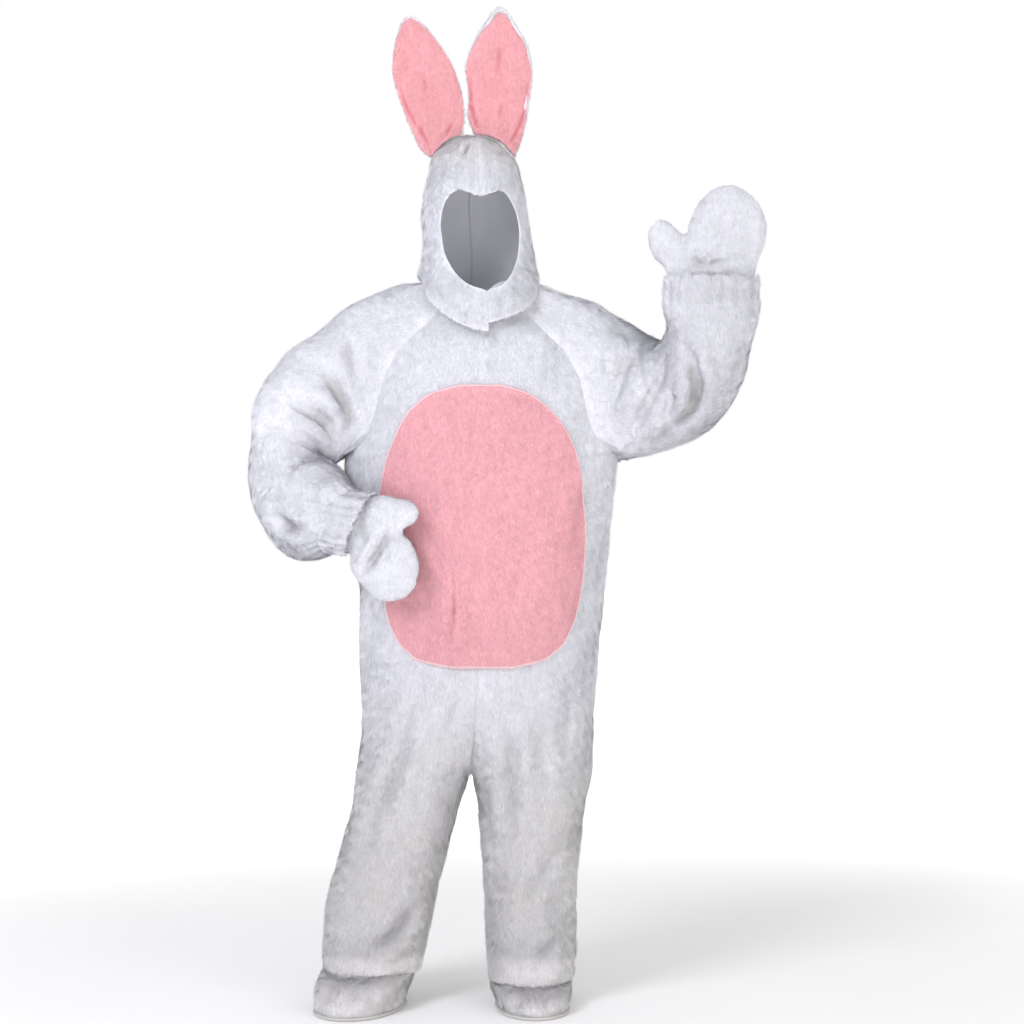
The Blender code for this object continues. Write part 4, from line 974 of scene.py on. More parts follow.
def hood_points(side):
    """From the front edge (column 0) round to the centre back, the last rows eased onto the hem's line."""
    edge_angle, edge_down, back_down = hood_edge(side, HOOD_FINER)
    across = np.linspace(0, 1, HOOD_FINER * HOOD_COLUMNS + 1)
    angle = edge_angle[:, None] * (1 - across) + np.pi * across
    down = edge_down[:, None] * (1 - across) + back_down[:, None] * across
    hem = hood_down(HOOD_HEM[side].read("height", np.degrees(angle)))
    rows = len(edge_down) - 1
    late = np.clip((np.arange(rows + 1) / rows - HEM_START) / (1 - HEM_START), 0, 1)[:, None]
    down = down * (1 + (hem / down[-1:] - 1) * late)
    down = down - arch_lift(angle, down, edge_down[HOOD_FINER * HOOD_ROWS_ABOVE])
    grid = hood_point(FACE_TURN + side * angle, down)
    inward = grid_inward(grid, False, side)
    ahead = unit(np.array([np.cos(FACE_TURN), np.sin(FACE_TURN), 0]))
    seams = np.zeros(grid.shape[:2], bool)
    seams[:, 0] = edge_angle == 0
    seams[:, -1] = True
    inward[seams] -= (inward[seams] @ ahead)[:, None] * ahead
    grid[seams] += side * HALF_SEAM * ahead
    grid[0] = grid[0, 0]
    inward[0] = (0, 0, -1)
    return grid, unit(inward)


def length_along(line):
    """The distance along a line of straight runs at each of its points."""
    return np.concatenate([[0], np.cumsum(np.linalg.norm(np.diff(line, axis=0), axis=1))])


def outline_points(x, height, count):
    """Points at even distances along a smooth curve through the given ones."""
    step = np.concatenate([[0], np.cumsum(np.hypot(np.diff(x), np.diff(height)))])
    fine = np.linspace(0, step[-1], OUTLINE_MEASURED * count)
    curve = stack(smooth(step, x, fine), smooth(step, height, fine))
    run = length_along(curve)
    at = np.linspace(0, run[-1], count)
    return stack(np.interp(at, run, curve[:, 0]), np.interp(at, run, curve[:, 1]))


def outline_inward(outline, heart):
    """The way in from each point of an open outline, at right angles to it."""
    along = np.gradient(outline, axis=0)
    across = unit(stack(-along[:, 1], along[:, 0]))
    return across * np.sign(np.sum(across * (np.array(heart) - outline), axis=1, keepdims=True))


def distance_to(line, points):
    """The distance of each point to a line of straight runs."""
    start = line[:-1]
    run = line[1:] - start
    offset = points[..., None, :] - start
    t = np.clip(np.sum(offset * run, axis=-1) / np.maximum(np.sum(run * run, axis=-1), 1e-12), 0, 1)
    return np.linalg.norm(offset - t[..., None] * run, axis=-1).min(axis=-1)


def pillow_grid(seam, closing, heart, depth, reach):
    """One half of a sewn shape with two sides. Rings run from its heart out to its outline, closer
    together at the rim. It stands up from the seam as a quarter of an ellipse does."""
    outline = np.concatenate([seam, closing])
    rings = np.sin(np.linspace(0, np.pi / 2, PILLOW_FINE_RINGS))[:, None, None]
    flat = np.array(heart) + (outline - heart) * rings
    share = np.clip(distance_to(seam, flat) / reach, 0, 1)
    rise = depth * np.sqrt(1 - (1 - share) ** 2)
    rise[-1, : len(seam)] = 0
    return np.concatenate([flat, rise[..., None]], axis=-1)


def pillow_inward(grid, seam_in):
    """The way in on a half shape: down into it everywhere, and along its plane at the seam."""
    inward = grid_inward(grid, True, 1)
    inward[0] = (0, 0, -1)
    inward *= np.where(inward[..., 2:] > 0, -1, 1)
    count = len(seam_in)
    inward[-1, :count] = np.concatenate([seam_in, 0 * seam_in[:, :1]], axis=1)
    return inward


def placed(grid, face, plane):
    """A half shape's flat points and rise put on its plane, standing out to the front or back."""
    origin, level, slope = plane
    normal = unit(np.array([slope, -1.0, 0.0])) * face
    y = level + slope * (grid[..., 0] - origin)
    return stack(grid[..., 0], y, grid[..., 1]) + (grid[..., 2:] + HALF_SEAM) * normal


def placed_with_way(grid, inward, face, plane):
    """A half shape's points on its plane, and the way in there."""
    points = placed(grid, face, plane)
    return points, unit(placed(grid + inward, face, plane) - points)


def ear_base(side, outline, count):
    """The base of an ear follows the hood's crown from its inner end to its outer end."""
    share = np.linspace(0, 1, count + 2)[1:-1]
    height = outline[-1, 1] + (outline[0, 1] - outline[-1, 1]) * share
    down = hood_down(height - EAR_BASE_GAP)
    return stack(HOOD.read(SIDE_NAMES[side], down) + side * EAR_BASE_GAP, height)


def ear_points(side, face):
    """An ear's front or back half. The front stops short of the outline, where the back's border shows.
    The back's last rings turn round the rim and run in a little way under the front."""
    table = EAR[side]
    step = table.column["step"]
    outline = outline_points(table.column["x"], table.column["height"], EAR_FINE_POINTS)
    border = table.read("border", np.linspace(step[0], step[-1], EAR_FINE_POINTS))[:, None]
    heart = np.array([(outline[:, 0].min() + outline[:, 0].max()) / 2, EAR_HEART_HEIGHT])
    base = ear_base(side, outline, EAR_BASE_POINTS)
    seam_in = outline_inward(outline, heart)
    edge = outline + seam_in * border if face == FRONT else outline
    closing = base + [0, EAR_FRONT_RISE] if face == FRONT else base
    grid = pillow_grid(edge, closing, heart, EAR_DEPTH[face], EAR_REACH)
    inward = pillow_inward(grid, seam_in)
    if face == BACK:
        rim = outline + seam_in * (ROOT_DEPTH + (border + RIM_UNDER) * RIM_RINGS[:, None, None])
        closed_by = np.broadcast_to(base + [0, EAR_FRONT_RISE / 2], (len(rim), *base.shape))
        turned = np.concatenate([rim, closed_by], axis=1)
        under = RIM_DROP * RIM_RINGS[:, None, None] - ROOT_DEPTH - HALF_SEAM
        rise = np.broadcast_to(under, turned.shape[:2] + (1,))
        grid = np.concatenate([grid, np.concatenate([turned, rise], axis=-1)])
        inward = np.concatenate([inward, np.broadcast_to((0.0, 0.0, 1.0), turned.shape[:2] + (3,))])
    return placed_with_way(grid, inward, face, (0, 0, 0))


def mitt_points(side, face):
    """A mitt's front or back half: its outline, closed by the wrist's edge inside the sleeve."""
    table = MITT[side]
    outline = outline_points(table.column["x"], table.column["height"], MITT_FINE_POINTS)
    first, last = (np.array(end) for end in MITT_WRIST[side])
    wrist = first + (last - first) * np.linspace(0, 1, MITT_WRIST_POINTS)[:, None]
    heart = np.array(MITT_HEART[side])
    seam = np.concatenate([[wrist[-1]], outline, [wrist[0]]])
    seam_in = outline_inward(seam, heart)
    grid = pillow_grid(seam, wrist[1:-1], heart, MITT_DEPTH, MITT_REACH)
    inward = pillow_inward(grid, seam_in)
    return placed_with_way(grid, inward, face, MITT_PLANE[side])


def foot_ring(side, angle, grown):
    """The sole's outline: an ellipse, turned so that the toes point out, grown by an edge."""
    x, y, half_width, half_length, toe_out = FOOT[side]
    turn = np.radians(toe_out)
    across = side * (half_width + grown) * np.cos(angle)
    ahead = (half_length + grown) * np.sin(angle)
    across = across * (1 + TOE_BLUNTNESS * np.sin(angle) * np.sin(2 * angle) ** 2)
    return (
        x + across * np.cos(turn) + side * ahead * np.sin(turn),
        y - ahead * np.cos(turn) + side * across * np.sin(turn),
    )


def leg_lining(side, height, columns, ease):
    """Points round the inside of a leg near its hem, a small gap in from the cloth. The first point is
    at the outer side, then the front."""
    across = np.linspace(0, 1, columns + 1)
    front, front_in = body(side, FRONT, across, np.full_like(across, height))
    back, back_in = body(side, BACK, across[1:-1], np.full_like(across[1:-1], height))
    ring = np.concatenate([front, back[::-1]])
    return ring + (WALL + LAID_GAP + ease) * np.concatenate([front_in, back_in[::-1]])


def foot_points(side):
    """Rings of the upper: from the sole up over the toes to just under the hem, then up inside it."""
    columns = FOOT_FINER * PANEL_COLUMNS
    angle = np.arange(2 * columns) * np.pi / columns
    hem = HEM_HEIGHT[side]
    low = SOLE_THICKNESS + 2 * HALF_SEAM
    top = hem - FOOT_UNDER_HEM
    sole_x, sole_y = foot_ring(side, angle, 0)
    mouth = leg_lining(side, hem, columns, 0)
    rings = []
    for share in np.linspace(0, 1, FOOT_FINER * FOOT_CROWN_ROWS + 1)[:-1]:
        climb = share * np.pi / 2
        inward = (1 - np.cos(climb)) ** FOOT_ROUND_IN
        out_x, out_y = foot_ring(side, angle, FOOT_SWELL * np.sin(2 * climb))
        x = out_x + (mouth[:, 0] - sole_x) * inward
        y = out_y + (mouth[:, 1] - sole_y) * inward
        rings.append(stack(x, y, low + (top - low) * np.sin(climb) ** FOOT_ROUND_UP))
    for share in np.linspace(0, 1, FOOT_TUCK_ROWS):
        height = top + (hem + FOOT_TUCK - top) * share
        ring = leg_lining(side, max(height, hem), columns, LAID_GAP * share)
        ring[:, 2] = height
        rings.append(ring)
    return np.array(rings)


def edge_distance(points, edges, closed):
    """The distance in space from each point of a grid to the nearest of its named edges."""
    lines = {"first": points[0], "last": points[-1], "left": points[:, 0], "right": points[:, -1]}
    nearest = np.full(points.shape[:2], FAR)
    for name in edges:
        line = np.concatenate([lines[name], lines[name][:1]]) if closed else lines[name]
        nearest = np.minimum(nearest, distance_to(line, points))
    return nearest


def outward(points, inward, closed):
    """A grid's normals turned to the outside. Where they are unsure, as at a pole, the form's own way."""
    normal = grid_inward(points, closed, 1)
    agrees = np.sum(normal * inward, axis=-1, keepdims=True)
    return np.where(np.abs(agrees) < SURE, -inward, -normal * np.sign(agrees))


class Cloth:
    """A piece's face as a grid: its points, the way out, the nap, and the distance to its edges."""

    def __init__(self, name, points, inward, closed=False, edges=("first", "last", "left", "right"),
                 dent=0.0, dip=SEAM_DIP, nap=(0, 0, -1), crease=None):
        self.name = name
        self.closed = closed
        self.edge = edge_distance(points, edges, closed)
        small = SMALL_LUMP_SHARE * wander(points, SMALL_LUMP_LENGTH, 4)
        lumps = LUMP_HEIGHT * (wander(points, LUMP_LENGTH, 3) + small)
        sink = ROOT_DEPTH + dent + lumps + dip * bell(self.edge, SEAM_WIDTH)
        self.points = points + inward * np.asarray(sink)[..., None]
        # The crease's depth as a share from 0 to 1, which the materials paint as shade.
        self.fold = np.clip(((dent if crease is None else crease) + 0 * sink) / FOLD_SHADE_FULL, 0, 1)
        self.points[..., 2] -= HELD_HEIGHT
        self.out = outward(self.points, inward, closed)
        nap = np.broadcast_to(np.asarray(nap, float), self.points.shape)
        self.nap = unit(nap - self.out * np.sum(nap * self.out, axis=-1, keepdims=True))
        self.keep = np.ones(self.edge.shape)

    def round(self, field):
        """The field with its first column again at the end, where the piece is closed round."""
        return np.concatenate([field, field[:, :1]], axis=1) if self.closed else field

    def area(self):
        """The area of each cell: half the cross product of its diagonals."""
        grid = self.round(self.points)
        one = grid[1:, 1:] - grid[:-1, :-1]
        other = grid[1:, :-1] - grid[:-1, 1:]
        return np.linalg.norm(np.cross(one, other), axis=-1) / 2


def quads(rows, columns, closed):
    """The corners of a grid's faces as rows and columns. A closed grid has one more face in each row."""
    row, column = np.meshgrid(np.arange(rows - 1), np.arange(columns - 1 + closed), indexing="ij")
    corner_row = np.stack([row, row, row + 1, row + 1], axis=-1).reshape(-1, 4)
    corner_column = np.stack([column, column + 1, column + 1, column], axis=-1).reshape(-1, 4)
    return corner_row, corner_column


def triangles_of(faces, points):
    """Each four-sided face as two triangles, as places in the list of all corners, without those
    whose points fall together."""
    corner = np.arange(faces.size).reshape(-1, 4)
    split = np.concatenate([corner[:, [0, 1, 2]], corner[:, [0, 2, 3]]])
    a, b, c = (points[faces.ravel()[split[:, i]]] for i in range(3))
    return split[np.linalg.norm(np.cross(b - a, c - a), axis=-1) > SMALLEST_FACE]


def scene_object(name, data):
    """An object of the scene that holds a mesh, a light or a camera."""
    made = bpy.data.objects.new(name, data)
    bpy.context.scene.collection.objects.link(made)
    return made


def mesh_object(name, points, triangles, corner_uv, slots, materials):
    """An object from triangles, with a texture point for each corner and a material slot for each face."""
    mesh = bpy.data.meshes.new(name)
    mesh.vertices.add(len(points))
    mesh.vertices.foreach_set("co", points.astype(np.float32).ravel())
    mesh.loops.add(triangles.size)
    mesh.loops.foreach_set("vertex_index", triangles.astype(np.int32).ravel())
    mesh.polygons.add(len(triangles))
    mesh.polygons.foreach_set("loop_start", np.arange(0, triangles.size, 3, dtype=np.int32))
    mesh.polygons.foreach_set("material_index", np.broadcast_to(slots, len(triangles)).astype(np.int32))
    mesh.update(calc_edges=True)
    mesh.uv_layers.new(name=UV_NAME).data.foreach_set("uv", corner_uv.astype(np.float32).ravel())
    for material in materials:
        mesh.materials.append(material)
    made = scene_object(name, mesh)
    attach(made, "root")
    return made


def cloth_object(cloth, backing, materials):
    """A closed wall: the face, the same grid moved in by the backing's thickness, and its rims. The
    face fills the left part of the texture square, the inside the right part and the rims the middle."""
    rows, columns = cloth.points.shape[:2]
    inner = cloth.points - backing * cloth.out
    points = np.concatenate([cloth.points.reshape(-1, 3), inner.reshape(-1, 3)])
    across = columns - 1 + cloth.closed
    row, column = quads(rows, columns, cloth.closed)
    index = row * columns + column % columns
    place = np.stack([column / across, row / (rows - 1)], axis=-1)
    faces = [index, index[:, ::-1] + rows * columns]
    uvs = [place * (FACE_SHARE, 1), place[:, ::-1] * (FACE_SHARE, 1) + (1 - FACE_SHARE, 0)]
    line = np.arange(across + 1) % columns
    side = np.arange(rows) * columns
    rims = [line[::-1], line + (rows - 1) * columns]
    if not cloth.closed:
        rims += [side, side[::-1] + columns - 1]
    strip = (1 - 2 * FACE_SHARE) / RIM_STRIPS
    for number, rim in enumerate(rims):
        under = rim + rows * columns
        faces.append(np.stack([rim[:-1], rim[1:], under[1:], under[:-1]], axis=-1))
        run = np.linspace(0, 1, len(rim))
        start = FACE_SHARE + strip * (number + 0.5)
        low = np.stack([0 * run + start, run], axis=-1)
        high = low + (strip * STRIP_FILL, 0)
        uvs.append(np.stack([low[:-1], low[1:], high[1:], high[:-1]], axis=1))
    slots = np.repeat([0, 1, 0], [len(index), len(index), sum(len(f) for f in faces[2:])])
    faces = np.concatenate(faces)
    turned = np.sum(face_way(points, index) * cloth.out.reshape(-1, 3)[index[:, 0]]) < 0
    faces = faces[:, ::-1] if turned else faces
    uvs = np.concatenate(uvs)
    uvs = uvs[:, ::-1] if turned else uvs
    fold = np.tile(cloth.fold.ravel(), 2)
    return welded(f"cloth_{cloth.name}", points, faces, uvs, slots, materials, fold)


def face_way(points, faces):
    """Each face's own direction, as long as the face is large."""
    a, b, c, d = (points[faces[:, i]] for i in range(4))
    return np.cross(c - a, d - b)


def welded(name, points, faces, uvs, slots, materials, fold=None):
    """The object with points that fall together joined, so that its poles and seams are closed."""
    _, first, same = np.unique(np.round(points / WELD), axis=0, return_index=True, return_inverse=True)
    same = same.ravel()
    points = points[first]
    faces = same[faces]
    split = triangles_of(faces, points)
    face_slots = slots[split[:, 0] // 4]
    made = mesh_object(name, points, faces.ravel()[split], uvs.reshape(-1, 2)[split], face_slots, materials)
    made.data.shade_smooth()
    if fold is not None:
        point_field(made, "fold", fold[first])
    return made


def point_field(made, name, values):
    """A number for each point, which a material reads by its name."""
    field = made.data.attributes.new(name, "FLOAT", "POINT")
    field.data.foreach_set("value", values.astype(np.float32).ravel())


def pile_object(cloth, length, material):
    """Fine blades of one triangle each on the face. They are spread evenly in every cell of the grid and
    lean the way of the nap, which wanders. Their tips draw together in small tufts."""
    name = f"pile_{cloth.name}"
    rng = np.random.default_rng(sum(map(ord, name)))
    area = cloth.area()
    wanted = area * bpy.context.scene.costume.density * 1e4
    if cloth.name.startswith("back_"):
        wanted = wanted * BACK_SHARE
    count = np.floor(wanted + rng.random(wanted.shape)).astype(int)
    cell = np.repeat(np.arange(count.size), count.ravel())
    number = np.arange(len(cell))
    row, column = np.divmod(cell, area.shape[1])
    down = (number * SPREAD_DOWN + SPREAD_CHANCE * rng.random(len(cell))) % 1
    across = (number * SPREAD_ACROSS + SPREAD_CHANCE * rng.random(len(cell))) % 1

    def at(field):
        """The field at each blade's root, between the four corners of its cell."""
        field = cloth.round(field)
        over = across if field.ndim == 2 else across[:, None]
        under = down if field.ndim == 2 else down[:, None]
        top = field[row, column] * (1 - over) + field[row, column + 1] * over
        low = field[row + 1, column] * (1 - over) + field[row + 1, column + 1] * over
        return top * (1 - under) + low * under

    root = at(cloth.points)
    out = unit(at(cloth.out))
    nap = unit(at(cloth.nap))
    size = np.clip(at(cloth.edge) / EDGE_FADE, EDGE_PILE, 1) * at(cloth.keep)
    kept = size > LEAST_BLADE
    fold = at(cloth.fold)[kept]
    root, out, nap, size = root[kept], out[kept], nap[kept], size[kept]
    number = len(root)
    swirl = sum(angle * wander(root, long, seed) for angle, long, seed in SWIRLS)
    swirl = swirl + rng.normal(0, OWN_TURN, number)
    nap = nap * np.cos(swirl)[:, None] + np.cross(out, nap) * np.sin(swirl)[:, None]
    guard = rng.random(number) < GUARD_SHARE
    lift = np.where(guard, rng.normal(*GUARD_LIFT, number), rng.normal(*LIFT, number))
    way = nap * np.cos(lift)[:, None] + out * np.sin(lift)[:, None]
    long = length * size * rng.uniform(*LENGTH_SPREAD, number) * np.where(guard, GUARD_LONGER, 1)
    tuft = np.stack([wander(root, TUFT_LENGTH, seed) for seed in TUFT_SEEDS], axis=-1)
    tuft -= out * np.sum(tuft * out, axis=-1, keepdims=True)
    tip = root + way * long[:, None] + tuft * (TUFT_PULL * size)[:, None]
    wide = BLADE_WIDTH * rng.uniform(*WIDTH_SPREAD, number) * np.where(guard, GUARD_THINNER, 1)
    half = unit(np.cross(way, out)) * wide[:, None]
    points = np.stack([root - half, root + half, tip], axis=1)
    turned = np.sum(np.cross(points[:, 1] - points[:, 0], points[:, 2] - points[:, 0]) * out, axis=-1) < 0
    points[turned] = points[turned][:, [1, 0, 2]]
    place = np.stack([column + across, row + down], axis=-1)[kept] / area.shape[::-1]
    uvs = place[:, None] * (1 - BLADE_UV) + BLADE_UV * np.array([(0, 0), (1, 0), (0, 1)])
    corners = np.arange(3 * number).reshape(-1, 3)
    made = mesh_object(name, points.reshape(-1, 3), corners, uvs, 0, [material])
    # Painted shade along each blade: a random light at its root and more at its tip.
    light = np.repeat(rng.uniform(*ROOT_LIGHT, (number, 1)), 3, axis=1)
    light[:, 2] += rng.uniform(*TIP_LIGHT, number)
    point_field(made, "tip", light)
    point_field(made, "fold", np.repeat(fold, 3))
    return made


def cut_of(cloth):
    """The flat size a piece was cut to: its widest row, its longest column and its area."""
    grid = cloth.round(cloth.points)
    width = np.linalg.norm(np.diff(grid, axis=1), axis=-1).sum(axis=1).max()
    length = np.linalg.norm(np.diff(grid, axis=0), axis=-1).sum(axis=0).max()
    return width, length, cloth.area().sum()


def box_of(cloth):
    """The flat size of a piece whose grid runs in rings: the box round its outline, and its area."""
    width, _, length = np.ptp(cloth.points.reshape(-1, 3), axis=0)
    return width, length, cloth.area().sum()


def dress(cloth, cloth_name, backing=BACKING, cut=cut_of, length=1.0):
    """A node's cloth and pile, and what the cloth was cut to."""
    settings = bpy.context.scene.costume
    face, inside, pile = cloth_materials(cloth_name)
    made = cloth_object(cloth, backing, [face, inside])
    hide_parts(cloth.name)
    hair = pile_object(cloth, settings.pile_length * length, pile)
    width, height, area = cut(cloth)
    return made


class Graph:
    """A material whose nodes are made and joined by short calls."""

    def __init__(self, name, roughness, sheen):
        self.material = bpy.data.materials.new(name)
        self.material.use_nodes = True
        self.tree = self.material.node_tree
        self.shader = self.tree.nodes["Principled BSDF"]
        self.shader.inputs["Roughness"].default_value = roughness
        self.shader.inputs["Sheen Weight"].default_value = sheen
        self.shader.inputs["Sheen Roughness"].default_value = SHEEN_ROUGHNESS
        self.shader.inputs["Specular IOR Level"].default_value = SPECULAR
        self.place = self.node("ShaderNodeTexCoord").outputs["Object"]

    def put(self, value, socket):
        """Joins a socket to another one, or gives it a plain value."""
        if isinstance(value, bpy.types.NodeSocket):
            self.tree.links.new(value, socket)
        else:
            socket.default_value = value

    def node(self, kind, inputs=(), **settings):
        """A new node with its settings, and its inputs by name or number."""
        made = self.tree.nodes.new(kind)
        for key, value in settings.items():
            setattr(made, key, value)
        for key, value in dict(inputs).items():
            self.put(value, made.inputs[key])
        return made

    def field(self, name):
        """The number that each point of the mesh carries under a name."""
        return self.node("ShaderNodeAttribute", attribute_name=name).outputs["Fac"]

    def ramp(self, value, start, end, low, high, way="SMOOTHSTEP"):
        """A value carried from one range to another, smoothly unless it says otherwise."""
        limits = {"Value": value, "From Min": start, "From Max": end, "To Min": low, "To Max": high}
        return self.node("ShaderNodeMapRange", limits, interpolation_type=way).outputs["Result"]

    def noise(self, scale, low, high, upwards=1):
        """Soft noise between two values. Upwards is the share of its fineness that is left that way."""
        mapping = {"Vector": self.place, "Scale": (1, 1, upwards)}
        place = self.node("ShaderNodeMapping", mapping).outputs["Vector"]
        noise = self.node("ShaderNodeTexNoise", {"Vector": place, "Scale": scale, "Detail": 2.0})
        return self.ramp(noise.outputs["Fac"], *NOISE_LIMITS, low, high, "LINEAR")

    def math(self, operation, one, other):
        """One sum or product of two values."""
        return self.node("ShaderNodeMath", {0: one, 1: other}, operation=operation).outputs[0]

    def times(self, *values):
        """The product of all the values."""
        total = values[0]
        for value in values[1:]:
            total = self.math("MULTIPLY", total, value)
        return total

    def mix(self, share, one, other):
        """A colour that passes from one to the other as the share grows."""
        made = self.node("ShaderNodeMix", {"Factor": share}, data_type="RGBA")
        for socket, value in ((made.inputs["A"], one), (made.inputs["B"], other)):
            self.put(value, socket)
        return made.outputs["Result"]

    def colour(self, colour, tone):
        """The colour times a tone, given to the shader."""
        scaled = self.node("ShaderNodeVectorMath", {"Scale": tone}, operation="SCALE")
        self.put(colour[:3] if not isinstance(colour, bpy.types.NodeSocket) else colour, scaled.inputs[0])
        self.tree.links.new(scaled.outputs["Vector"], self.shader.inputs["Base Color"])

    def bump(self, height, distance, strength=0.6):
        """A fine relief that bends the light."""
        bump = self.node("ShaderNodeBump", {"Height": height, "Distance": distance, "Strength": strength})
        self.tree.links.new(bump.outputs["Normal"], self.shader.inputs["Normal"])


def plush_tone(graph):
    """The plush's mottled tone: broad soft patches, brushed streaks and small tufts, with painted shade low
    on the legs and on the raised arm, painted light on the feet and the resting arm, and painted shade in
    the creases."""
    mottles = [graph.noise(*mottle) for mottle in MOTTLES]
    place = graph.node("ShaderNodeSeparateXYZ", {"Vector": graph.place}).outputs
    # Painted shade low on the legs and on the raised arm, painted light on the feet and the resting arm.
    tones = [graph.ramp(place[axis], *limits) for axis, *limits in PAINTED_SHADE_AND_LIGHT]
    # Painted shade: darker on the floor of a deep crease.
    crease = graph.ramp(graph.field("fold"), FOLD_SHADE_START, 1.0, 1.0, FOLD_SHADE_TONE)
    return graph.times(*mottles, *tones, crease)


def plush_colour(graph, colour, shade_and_top):
    """The cloth's colour, passing in uneven patches into a second colour down the legs, where it is painted
    shade, and up the crown and ears. In the creases it passes into painted shade, warmer on white and
    deeper on pink."""
    height = graph.node("ShaderNodeSeparateXYZ", {"Vector": graph.place}).outputs["Z"]
    down = graph.ramp(height, *LEG_SHADE_HEIGHTS, 0.0, 1.0)
    up = graph.ramp(height, *TOP_COLOUR_HEIGHTS, 0.0, TOP_COLOUR_SHARE)
    share = graph.times(graph.math("ADD", down, up), graph.noise(*SHADE_AND_TOP_PATCHES))
    lit = graph.mix(share, (*colour, 1.0), (*shade_and_top, 1.0))
    # Painted shade in the creases: a warmer tint on white, a deeper one on pink.
    tint = CREASE_SHADE_TINT if min(colour) > PALE else PINK_CREASE_SHADE_TINT
    shaded = tuple(part * scale for part, scale in zip(colour, tint))
    crease_shade = graph.ramp(graph.field("fold"), SHADE_TINT_START, 1.0, 0.0, 1.0)
    return graph.mix(crease_shade, lit, (*shaded, 1.0))


def pile_material(name, colour, shade_and_top, root):
    """Plush pile with painted shade: darker at the roots, lighter at the tips."""
    graph = Graph(f"{name}_pile", roughness=0.9, sheen=0.3)
    light = graph.ramp(graph.field("tip"), 0.0, 1.0, root, TIP_TONE)
    graph.colour(plush_colour(graph, colour, shade_and_top), graph.times(plush_tone(graph), light))
    return graph.material


def face_material(name, colour, shade_and_top, root):
    """The woven face between the tufts of the pile, darkened by painted shade a little less than the pile's
    roots.
    """
    graph = Graph(f"{name}_face", roughness=0.95, sheen=0.2)
    tone = graph.times(plush_tone(graph), root + FACE_LIGHTER)
    graph.colour(plush_colour(graph, colour, shade_and_top), tone)
    graph.bump(graph.noise(420.0, 0.0, 1.0), 0.0008)
    return graph.material


def thread_cloth_material(name, colour, roughness, threads, gap_tone, patches):
    """Cloth of two crossing sets of threads: the product of two waves, each with its fineness, its
    unevenness and the axis it runs across, gives the tone and a fine relief."""
    graph = Graph(name, roughness, sheen=0.1)
    waves = [
        graph.node("ShaderNodeTexWave", {"Vector": graph.place, "Scale": scale, "Distortion": uneven},
                   bands_direction=axis).outputs["Fac"]
        for scale, uneven, axis in threads
    ]
    crossed = graph.times(*waves)
    tone = graph.ramp(crossed, 0.0, 1.0, gap_tone, 1.0)
    graph.colour(colour, graph.times(tone, graph.noise(*patches)))
    graph.bump(crossed, THREAD_BUMP)
    return graph.material


def knit_material(name, colour):
    """The knitted inside: fine ribs along the cloth, crossed by finer courses."""
    threads = ((150.0, 0.6, "X"), (210.0, 0.4, "Z"))
    return thread_cloth_material(f"{name}_inside", colour, 0.95, threads, 0.84, (9.0, 0.95, 1.02))


def sole_material(colour):
    """Firm cloth in a plain weave with a few worn patches."""
    threads = ((120.0, 0.0, "X"), (120.0, 0.0, "Y"))
    return thread_cloth_material("sole_weave", colour, 0.85, threads, 0.86, (14.0, 0.92, 1.02))


def thread_material(colour):
    """Stitching thread with a slight twist in its tone."""
    graph = Graph("edge_thread", roughness=0.55, sheen=0.1)
    graph.colour(colour, graph.noise(600.0, 0.93, 1.03))
    return graph.material


def cloth_materials(name):
    """The face, inside and pile of a cloth, made once."""
    settings = bpy.context.scene.costume
    white = name == "white_plush"
    colour = settings.white if white else settings.pink
    shade_and_top = settings.white_shade_and_top if white else settings.pink_shade_and_top
    root = WHITE_ROOT_SHADE if white else PINK_ROOT_SHADE
    if f"{name}_pile" not in bpy.data.materials:
        face_material(name, colour, shade_and_top, root)
        knit_material(name, colour)
        pile_material(name, colour, shade_and_top, root)
    return [bpy.data.materials[f"{name}_{part}"] for part in ("face", "inside", "pile")]


class CostumeSettings(bpy.types.PropertyGroup):
    """Sizes and colours of the costume's plush."""

    pile_length: bpy.props.FloatProperty(
        name="Pile length", description="Length of the plush pile", default=0.0085, min=0.002, max=0.03,
        unit="LENGTH",
    )
    density: bpy.props.FloatProperty(
        name="Pile density", description="Blades of pile in each square centimetre", default=20.5,
        min=1, max=30,
    )
    white: bpy.props.FloatVectorProperty(
        name="White plush", description="Colour of the white plush", default=(0.762, 0.765, 0.82),
        subtype="COLOR", min=0, max=1,
    )
    # The second white: painted shade low on the legs, and the colour up the crown.
    white_shade_and_top: bpy.props.FloatVectorProperty(
        name="Worn white plush", description="Colour of the white plush low on the legs and at the crown",
        default=(0.755, 0.74, 0.745), subtype="COLOR", min=0, max=1,
    )
    pink: bpy.props.FloatVectorProperty(
        name="Pink plush", description="Colour of the pink plush", default=(0.825, 0.43, 0.475),
        subtype="COLOR", min=0, max=1,
    )
    # The second pink: the colour on the ears, and painted shade where pink comes low.
    pink_shade_and_top: bpy.props.FloatVectorProperty(
        name="Worn pink plush", description="Colour of the pink plush on the ears",
        default=(0.785, 0.37, 0.40), subtype="COLOR", min=0, max=1,
    )
    sole: bpy.props.FloatVectorProperty(
        name="Sole cloth", description="Colour of the soles", default=(0.60, 0.58, 0.56),
        subtype="COLOR", min=0, max=1,
    )
    floor_tone: bpy.props.FloatProperty(
        name="Floor tone", description="How pale the studio floor is", default=0.96, min=0, max=1,
        subtype="FACTOR",
    )


